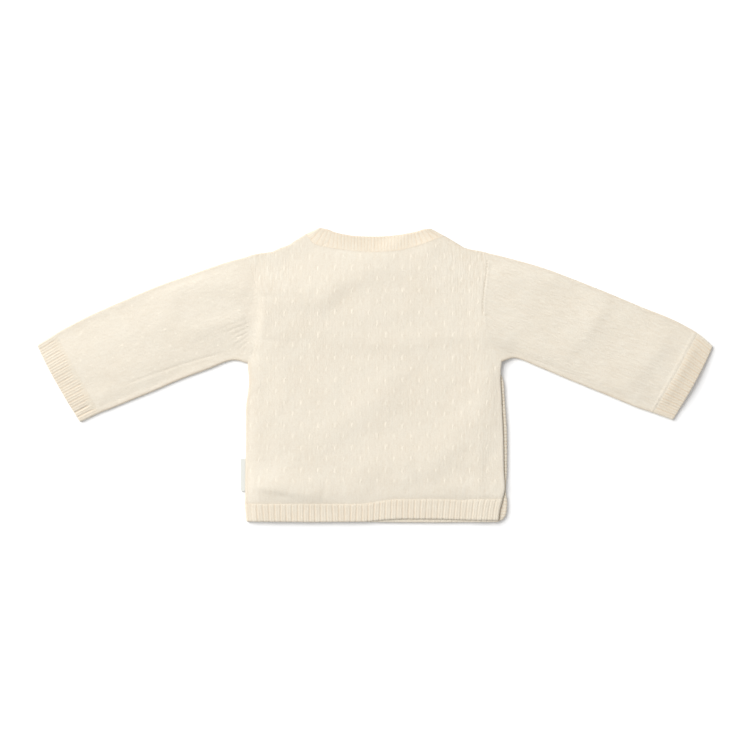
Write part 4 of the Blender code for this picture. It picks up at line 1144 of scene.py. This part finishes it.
def ring_faces(side, t, counts, lifted, ribs, inside, dip, root=0.0):
    """Points, stitches and painted shade of a flattened ring at stations t: over it from the upper edge to
    the lower one, and back under it. Its two edges turn through half a circle. dip(w) is how far the
    upper face dips at shares w across it, and root is how far from the seam a rib starts."""
    table = SLEEVES[side]
    rows = along(table, t)
    top, low = rows[:, None, 0:2], rows[:, None, 2:4]
    width = np.linalg.norm(low - top, axis=-1)
    turn = CLOTH + 0.4 * on_turn(5) if inside else on_turn(5)
    hole = ARMHOLES[side]
    fade = 1 - smooth(t / 0.3)[:, None]
    end, axis = sleeve_way(side, CUFF_ROW, -1), sleeve_way(side, 0, CUFF_ROW)
    past_seam = np.clip(t * (len(table) - 1) - CUFF_ROW, 0.0, 1.0)[:, None]
    found = []
    for over, count in ((True, counts[0]), (False, counts[1])):
        middle = np.linspace(0, 1, count + 1)[None, 1:-1]
        shape = np.ones_like(width)
        d = np.concatenate([turn * shape, FOLD + middle * (width - 2 * FOLD), width - turn[::-1]], axis=1)
        w = d / width
        clear = np.clip(w, 0.0, 1.0)
        xy = top + (low - top) * w[..., None]
        xy[..., 0] += fade * hole["bow"] * np.sin(np.pi * clear ** hole["skew"])
        crest = dome(ribs * clear, 0.6) if ribs else np.zeros_like(clear)
        ragged = RIBS_START[side] * RAGGED[np.clip((ribs * clear).astype(int), 0, CUFF_RIBS - 1)]
        begins = smooth((root - ragged) / (0.8 + 2.0 * RIBS_START[side]))
        out = past_seam * (CUFF_BOW * np.sin(np.pi * clear**0.8) ** 0.7 + 0.35 * crest * past_seam)
        xy = xy + out[..., None] * end
        x, y = xy[..., 0], xy[..., 1]
        edge = np.minimum(d, width - d)
        base = inner_floor(x, y, lifted)
        if over:
            full = (SLEEVE_PUFF * np.sin(np.pi * clear) - 0.4) * smooth(t / 0.25)[:, None]
            z = base + CLOTH + LAYER + air(x, y, base + LAYER, full)
        else:
            z = base
        if inside:
            z = z - CLOTH if over else z + CLOTH
        elif over:
            small = smooth(edge / 5.0) * (1.0 if ribs == 0 else 0.4)
            z = z - turned(edge, FOLD, 1.7) - dip(clear) + uneven(x, y) * small
            z = z + creases(x, y, FINE_LINES)
            if ribs:
                z = z + (CUFF_RIB * crest - 0.2) * begins * smooth(edge / 3.0)
        else:
            z = z + np.maximum(turned(edge, FOLD, 1.7), 0.5 * (1 - crest) * (ribs > 0))
        if ribs:
            stitch = stitches(4 * ribs * clear, (xy @ axis) / COURSE)
            # Painted shade in the rib valleys.
            painted_shade = CUFF_PAINTED_SHADE[side] * valley(crest) * smooth(edge / 3.0) * begins
        else:
            across = xy @ np.array([axis[1], -axis[0]])
            stitch = stitches(across / WALE, (xy @ axis) / COURSE, 0.75 if side == "right" else 0.3)
            # Painted shade along the sleeve's folded edges.
            painted_shade = FOLD_PAINTED_SHADE * bell(edge, 1.8)
        found.append((np.stack([x, y, z], axis=-1), stitch, painted_shade))
    return [np.concatenate([over, under[:, ::-1]], axis=1) for over, under in zip(*found)]


SLEEVE_STEPS = int(100 / STEP)  # across a sleeve's upper face
# How far from the join each cuff rib starts.
RAGGED = np.random.default_rng(17).uniform(0.0, 4.5, CUFF_RIBS)
RIBS_START = {"left": 1.0, "right": 0.2}  # how much of that shows on each cuff
CUFF_RIDGE = {"left": 0.0, "right": 0.26}  # height of the knit beside a cuff's join
CUFF_PAINTED_SHADE = {"left": 0.6, "right": 0.9}  # how dark the painted shade in the valleys between the ribs is


def make_sleeve(side, lifted):
    """A sleeve from its armhole to its cuff."""
    length = np.linalg.norm(SLEEVES[side][CUFF_ROW, :2] - SLEEVES[side][0, :2])
    gap, fine = SEAM / 2 / length * CUFF_SHARE, 0.025
    t = np.concatenate([np.linspace(gap, fine, 10)[:-1],
                        np.linspace(fine, CUFF_SHARE - fine, int(0.95 * length / STEP)),
                        np.linspace(CUFF_SHARE - fine, CUFF_SHARE - gap, 10)[1:]])
    from_root = t / CUFF_SHARE * length
    from_cuff = length - from_root
    at_cuff = -CUFF_RIDGE[side] * bell(from_cuff - 2.8, 2.1)[:, None]

    def dip(w):
        return armhole_dip(side, w, from_root[:, None], True) + at_cuff

    counts = (SLEEVE_STEPS, 34)
    outer, stitch, painted_shade = ring_faces(side, t, counts, lifted, 0, False, dip)
    inner = ring_faces(side, t, counts, lifted, 0, True, dip)[0]
    return tube_of(f"cardigan_sleeve_{side}", outer, inner, KNIT, stitch, painted_shade)


def make_cuff(side):
    """A cuff of one rib tube, cast off at its open end."""
    length = np.linalg.norm(SLEEVES[side][-1, :2] - SLEEVES[side][CUFF_ROW, :2])
    start = CUFF_SHARE + SEAM / 2 / length * (1 - CUFF_SHARE)
    t = start + (1 - start) * np.concatenate([np.linspace(0, 0.9, 18), [0.94, 0.97, 0.99, 1.0]])
    from_seam = (t - CUFF_SHARE) / (1 - CUFF_SHARE) * length
    ends = turned(length - from_seam, 1.0, 0.5)[:, None]
    counts = (12 * CUFF_RIBS, 6 * CUFF_RIBS)
    root = from_seam[:, None]
    outer, stitch, painted_shade = ring_faces(side, t, counts, False, CUFF_RIBS, False, lambda w: ends, root)
    inner = ring_faces(side, t, counts, False, 0, True, lambda w: ends)[0]
    return tube_of(f"cardigan_cuff_{side}", outer, inner, RIB, stitch, painted_shade)


sleeve_left, sleeve_right = make_sleeve("left", False), make_sleeve("right", True)
cuff_left, cuff_right = make_cuff("left"), make_cuff("right")


# ---------------------------------------------------------------- label and buttons
LABEL_ENDS = (-108.0, -77.8)  # its lower and upper side


def make_label():
    """White tape, folded end to end: out along the top, round a half circle and back underneath."""
    y = np.linspace(*LABEL_ENDS, 40)[None]
    reach = 4.8 - 0.8 * (y[0, -1] - y) / (y[0, -1] - y[0, 0])
    bend, wall = 0.27, 0.2
    straight = np.linspace(0, 1, 12)
    turn = np.linspace(np.pi / 2, -np.pi / 2, 9)[1:-1]
    out = np.concatenate([straight, np.ones(7), straight[::-1]])[:, None]
    beyond = np.concatenate([0 * straight, np.cos(turn), 0 * straight])[:, None]
    level = np.concatenate([0 * straight + 1, np.sin(turn), 0 * straight - 1])[:, None]
    middle = CLOTH + GAP / 2 - 0.4 * out**2 + 0.12 * lumps(y, 3 * out, 9.0, 21)
    faces = []
    for shift in (wall, -wall):
        x = side_x("left", y) - SEAM - out * (reach - bend - wall) - beyond * (bend + shift)
        z = middle + level * (bend + shift)
        faces.append(np.stack(np.broadcast_arrays(x, y, z), axis=-1))
    return sheet_of("cardigan_side_label", *faces, TAPE, fine_lower=True)


def make_button(number, centre):
    """A pressed button as circles of points: a raised rim round a dished face with four holes
    below, and a plain face above."""
    a = np.linspace(0, 2 * np.pi, 49)[None, :-1]
    r = np.concatenate([np.linspace(0.15, 4.9, 22), [5.1, 5.3, 5.42, 5.5]])[:, None]
    x, y = r * np.cos(a), r * np.sin(a)
    rim = turned(BUTTON_RADIUS - r, 0.6, 0.4)
    dish = 0.35 * (1.0 - smooth((r - 3.2) / 0.8))
    holes = sum(np.exp(-((np.hypot(x - hx, y - hy) / 0.62) ** 4))
                for hx in (HOLE_OFF, -HOLE_OFF) for hy in (HOLE_OFF, -HOLE_OFF))
    below = rim + dish + 0.55 * holes
    above = BUTTON_THICK - rim * np.ones_like(a)
    rings = np.concatenate([
        np.stack(np.broadcast_arrays(x, y, below), axis=-1),
        np.stack(np.broadcast_arrays(x, y, above), axis=-1)[::-1][[0, 1, 2, 4, 12, 25]],
    ])
    points = np.concatenate([rings.reshape(-1, 3), [[0, 0, below[0, 0]], [0, 0, above[0, 0]]]])
    points += np.array([*centre, 0.0])
    size = rings.shape[:2]
    quads, caps = outward(points, ring_quads(*size), ring_caps(*size))
    return put(f"cardigan_button_{number}", points, quads, caps, RESIN)


label = make_label()
buttons = [make_button(number, centre) for number, centre in enumerate(BUTTONS, 1)]


# ---------------------------------------------------------------- raised and linking stitches
def beads(name, start, middle, end, up, wide, high, material, blunt=0.6):
    """Plump strands on the parabola through start, middle and end: rings whose size is sin(pi b) to
    the power blunt along it, lifted by the same curve, closed by a point at both ends."""
    b = np.array([0.08, 0.32, 0.62, 0.92])
    size = np.sin(np.pi * b) ** blunt
    a = 2 * np.pi * np.arange(STRAND_SIDES) / STRAND_SIDES + np.pi / 2
    aside = np.cross(up, unit(end - start))
    parts = np.stack([(1 - b) * (1 - 2 * b), 4 * b * (1 - b), b * (2 * b - 1)], axis=1)
    core = np.einsum("bk,knc->nbc", parts, np.stack([start, middle, end]))
    core = core + up[:, None] * (0.45 * high * size)[None, :, None]
    across = (np.cos(a)[None, :] * (wide / 2 * size)[:, None])[None, ..., None] * aside[:, None, None]
    upright = (np.sin(a)[None, :] * (high / 2 * size)[:, None])[None, ..., None] * up[:, None, None]
    rings = (core[:, :, None] + across + upright).reshape(len(start), -1, 3)
    points = np.concatenate([rings, start[:, None], end[:, None]], axis=1)
    shift = (np.arange(len(start)) * points.shape[1])[:, None, None]
    points = points.reshape(-1, 3)
    quads = (ring_quads(len(b), STRAND_SIDES)[:, [0, 3, 2, 1]] + shift).reshape(-1, 4)
    caps = (ring_caps(len(b), STRAND_SIDES)[:, [0, 2, 1]] + shift).reshape(-1, 3)
    return put(name, points, *outward(points, quads, caps), material)


def sew_on(number, centre):
    """A button's thread: two strands over its lower face, each from hole to hole."""
    ways = np.array([HOLE_OFF, -HOLE_OFF])
    start, middle, end = (np.stack([centre[0] + x + 0 * ways, centre[1] + ways, z + 0 * ways], axis=1)
                          for x, z in ((HOLE_OFF, 0.75), (0.0, 0.2), (-HOLE_OFF, 0.75)))
    down = np.tile([0.0, 0.0, -1.0], (2, 1))
    return beads(f"cardigan_button_{number}_thread", start, middle, end, down, 0.7, 0.3, THREAD)


threads = [sew_on(number, centre) for number, centre in enumerate(BUTTONS, 1)]


def drop_on(piece, xy):
    """Where points over a piece land on its upper face, with the face's normals and which landed."""
    found = [piece.ray_cast((x * MM, y * MM, 0.05), (0, 0, -1)) for x, y in xy]
    hit = np.array([f[0] for f in found])
    return np.array([f[1] for f in found]) / MM, np.array([f[2] for f in found]), hit


def raised(name, piece, xy, course, sink):
    """Raised stitches on a piece, each two plump legs that meet at its foot; course is the way the
    knitting runs. They follow the cloth, sunk in it so that only their tops show."""
    run, side = np.array(course), np.array([course[1], -course[0]])
    rng = np.random.default_rng(len(xy))
    half = 0.5 * DASH_LENGTH * rng.uniform(0.88, 1.12, (len(xy), 1))
    reach = half * (run + DASH_LEAN * side)
    legs = []
    for way in (-1.0, 1.0):
        found = [drop_on(piece, xy + k * reach + way * off * side)
                 for k, off in ((-1, 0.1), (0, 0.35), (1, 0.6))]
        hit = found[0][2] & found[1][2] & found[2][2]
        up = unit(sum(normal[hit] for _, normal, _ in found))
        legs.append([*(place[hit] - sink * up for place, _, _ in found), up])
    start, middle, end, up = (np.concatenate(both) for both in zip(*legs))
    return beads(name, start, middle, end, up, 1.5, DASH_HIGH, RAISED, blunt=0.25)


def lattice(low, high):
    """Half-drop rows of places between two corners."""
    k = np.arange(-30, 31)
    j = np.arange(-40, 41)
    x = DASH_START[0] + DASH_ACROSS * (j[None] + 0.5 * (k[:, None] % 2))
    y = DASH_START[1] - DASH_DOWN * k[:, None] + 0 * x
    xy = np.stack([x.ravel(), y.ravel()], axis=1)
    return xy[np.all((xy > low) & (xy < high), axis=1)]


def clear_of(xy, outline, room):
    """Which points are at least room inside a closed outline."""
    (x0, y0), (x1, y1) = outline.T, np.roll(outline, -1, axis=0).T
    x, y = xy[:, :1], xy[:, 1:]
    rise = np.where(y1 == y0, 1.0, y1 - y0)
    crossed = ((y0 > y) != (y1 > y)) & (x < x0 + (y - y0) / rise * (x1 - x0))
    away = to_segment(x, y, x0, y0, x1, y1)[1].min(axis=1)
    return (crossed.sum(axis=1) % 2 == 1) & (away > room)


v_edge = np.linspace(0, 1, 60)
back_sides = panel_side("left", v_edge, 0.0), panel_side("right", v_edge[::-1], 0.0)
back_outline = np.concatenate([back_sides[0], BACK_TOP, back_sides[1]])
places = lattice((-140.0, -104.0), (140.0, 140.0))
bpy.context.view_layer.update()
on_back = places[clear_of(places, back_outline, DASH_ROOM["back"])]
back_raised = raised("back_raised_stitches", back, on_back, (0.0, 1.0), DASH_SINK["back"])

sleeve_raised, sleeve_outlines = [], {}
for side, piece in (("left", sleeve_left), ("right", sleeve_right)):
    table = SLEEVES[side]
    axis = sleeve_way(side, 0, CUFF_ROW)
    root = table[0].reshape(2, 2).mean(axis=0)
    grid = lattice((-300.0, -300.0), (300.0, 300.0))
    turned_grid = root + grid[:, 1:] * axis + grid[:, :1] * np.array([axis[1], -axis[0]])
    rows = along(table, np.linspace(0, CUFF_SHARE, 60))
    hole = armhole(side, np.linspace(0, 1, 40))
    outline = np.concatenate([hole[::-1], rows[1:, :2], rows[::-1][:-1, 2:4]])
    sleeve_outlines[side] = outline
    inside = clear_of(turned_grid, outline, DASH_ROOM["sleeve"])
    name = f"sleeve_{side}_raised_stitches"
    sleeve_raised.append(raised(name, piece, turned_grid[inside], -axis, DASH_SINK[side]))


def linking(name, pair, line):
    """Linking stitches over the seam line of a pair of pieces: a small strand across it at every
    wale."""
    length = running(line)[-1]
    shares = np.arange(1, int(length / WALE)) * WALE / length
    xy = at_share(line, shares)
    way = unit(at_share(line, np.clip(shares + 0.004, 0, 1)) - at_share(line, np.clip(shares - 0.004, 0, 1)))
    out = np.stack([-way[:, 1], way[:, 0]], axis=1)
    ends = [drop_on(piece, xy + k * (LINK_REACH * out + 0.25 * way)) for piece, k in zip(pair, (-1.0, 1.0))]
    both = ends[0][2] & ends[1][2]
    up = unit(ends[0][1][both] + ends[1][1][both])
    start, end = (place[both] - 0.12 * up for place, _, _ in ends)
    return beads(name, start, (start + end) / 2, end, up, 0.8, 0.16, LINKING)


neck_line = NECK_LINE[12:-12, 2:4] - np.array([0.0, SEAM / 2])
hole_left = armhole("left", np.linspace(0.3, 0.9, 120))
hole_right = armhole("right", np.linspace(0.04, 0.56, 120))
links = [
    linking("neck_linking", (back, neck_band), neck_line),
    linking("armhole_left_linking", (sleeve_left, back), hole_left),
    linking("armhole_right_linking", (back, sleeve_right), hole_right),
]

# ---------------------------------------------------------------- floor, light and camera
bpy.ops.mesh.primitive_plane_add(size=8.0, location=(0, 0, -0.0001))
floor = bpy.context.active_object
floor.name = "pale_floor"
surface, tree, shader = blank("plain pale floor", 0.9)
shader.inputs["Base Color"].default_value = (*FLOOR, 1.0)
shader.inputs["Specular IOR Level"].default_value = 0.0
floor.data.materials.append(surface)

KEY_PLACE = (-2.8, 2.3, 3.6)
lamp = bpy.data.lights.new("key_light", "AREA")
lamp.size = 4.4
lamp.energy = 318.0
key = bpy.data.objects.new("key_light", lamp)
key.location = KEY_PLACE
key.rotation_euler = Vector(KEY_PLACE).to_track_quat("Z", "Y").to_euler()
bpy.context.scene.collection.objects.link(key)
world = bpy.data.worlds.new("even_light")
world.use_nodes = True
sky = world.node_tree.nodes["Background"]
sky.inputs["Color"].default_value = (1.0, 1.0, 1.0, 1.0)
sky.inputs["Strength"].default_value = 0.55
bpy.context.scene.world = world
bpy.context.scene.view_settings.view_transform = "Standard"

WIDE = 750 * 0.93 * MM  # width of the view on the floor: 750 pixels of 0.93 mm
CAMERA_HEIGHT = 2.5
lens = bpy.data.cameras.new("camera_above")
lens.sensor_width = 36.0
lens.lens = lens.sensor_width * CAMERA_HEIGHT / WIDE
lens.clip_end = 20.0
camera = bpy.data.objects.new("camera_above", lens)
camera.location = (0.0, 0.0, CAMERA_HEIGHT)
bpy.context.scene.collection.objects.link(camera)
bpy.context.scene.camera = camera

# ---------------------------------------------------------------- what each piece is
STANDS_FOR = (
    (back, "back", "knit"),
    (back_hem, "back_hem_rib", "rib"),
    (neck_band, "neck_band", "rib"),
    (outer_front, "front_outer", "knit"),
    (outer_hem, "front_outer_hem_rib", "rib"),
    (outer_band, "front_band_outer", "rib"),
    (inner_front, "front_inner", "knit"),
    (inner_hem, "front_inner_hem_rib", "rib"),
    (inner_band, "front_band_inner", "rib"),
    (sleeve_left, "sleeve_left", "knit"),
    (sleeve_right, "sleeve_right", "knit"),
    (cuff_left, "cuff_left", "rib"),
    (cuff_right, "cuff_right", "rib"),
    (label, "side_label", "label"),
    (buttons[0], "button_1", "button"),
    (buttons[1], "button_2", "button"),
    (buttons[2], "button_3", "button"),
)
for piece, solid, finish in STANDS_FOR:
    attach(piece, "root")
    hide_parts(solid)
for piece in (back_raised, *sleeve_raised, *links):
    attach(piece, "root")
for piece in threads:
    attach(piece, "root")


# ---------------------------------------------------------------- each sheet's cut, laid flat
def panel_cut(loop, layers=1):
    """Width, length and area of what a closed outline bounds, in metres, all round its layers."""
    x, y = loop.T
    area = 0.5 * abs(np.dot(x, np.roll(y, -1)) - np.dot(y, np.roll(x, -1)))
    return layers * np.ptp(x) * MM, np.ptp(y) * MM, layers * area * MM * MM


def strip_cut(edge, other, layers=1):
    """Width and length of a strip between two edges, chains of as many points: the mean length of
    the edges, all round its layers, and the mean distance between them."""
    wide = 0.5 * (running(edge)[-1] + running(other)[-1])
    return layers * wide * MM, np.linalg.norm(other - edge, axis=1).mean() * MM, None


def front_cut(side, band):
    """A front's cut: side and armhole, shoulder, and the seam to its band."""
    shoulder = SHOULDERS[side] if side == "left" else SHOULDERS[side][::-1]
    seam = dense(band)[:, 2:4]
    seam = seam[seam[:, 1] >= HEM_SEAM_Y]
    return panel_cut(np.concatenate([panel_side(side, v_edge, 0.0), shoulder, seam]))


def hem_cut(left, right, column):
    """A hem rib's cut between two places across the body, down to a column of the hem's table."""
    x = np.linspace(left, right, SAMPLES)
    seam = np.stack([x, np.full(SAMPLES, HEM_SEAM_Y)], axis=1)
    return strip_cut(seam, np.stack([x, np.interp(x, HEM[:, 0], HEM[:, column])], axis=1))


def band_cut(band):
    """A band's cut between its free edge and its seam."""
    return strip_cut(dense(band)[:, 0:2], dense(band)[:, 2:4])


def sleeve_cut(side):
    """A sleeve's cut: round its armhole end, along its upper edge, and both layers' area."""
    ends = SLEEVES[side][0].reshape(2, 2)
    upper_edge = along(SLEEVES[side], np.linspace(0, CUFF_SHARE, SAMPLES))[:, :2]
    area = panel_cut(sleeve_outlines[side], 2)[2]
    return 2 * np.linalg.norm(ends[1] - ends[0]) * MM, running(upper_edge)[-1] * MM, area


def cuff_cut(side):
    """A cuff's cut, round it, from its seam to its open end."""
    first, last = SLEEVES[side][CUFF_ROW].reshape(2, 2), SLEEVES[side][-1].reshape(2, 2)
    return strip_cut(first, last, 2)


hem_left, hem_right = (float(side_x(side, HEM_SEAM_Y)) for side in ("left", "right"))
outer_end = np.interp(HEM_SEAM_Y, *dense(OUTER_BAND)[::-1, [3, 2]].T)
inner_end = np.interp(HEM_SEAM_Y, *dense(INNER_BAND)[::-1, [3, 2]].T)
sheets = (
    (back, panel_cut(back_outline), (inner_front, outer_front), (back_raised, *links)),
    (back_hem, hem_cut(hem_left, hem_right, 1), (inner_hem, outer_hem), ()),
    (neck_band, strip_cut(NECK_LINE[:, 0:2], NECK_LINE[:, 2:4]), (back,), ()),
    (outer_front, front_cut("left", OUTER_BAND), (floor,), ()),
    (outer_hem, hem_cut(hem_left, outer_end, 2), (floor,), ()),
    (outer_band, band_cut(OUTER_BAND), (floor,), ()),
    (inner_front, front_cut("right", INNER_BAND), (outer_front,), ()),
    (inner_hem, hem_cut(inner_end, hem_right, 2), (outer_hem,), ()),
    (inner_band, band_cut(INNER_BAND), (outer_front,), ()),
    (sleeve_left, sleeve_cut("left"), (floor,), (sleeve_raised[0],)),
    (sleeve_right, sleeve_cut("right"), (inner_front, floor), (sleeve_raised[1],)),
    (cuff_left, cuff_cut("left"), (floor,), ()),
    (cuff_right, cuff_cut("right"), (floor,), ()),
)
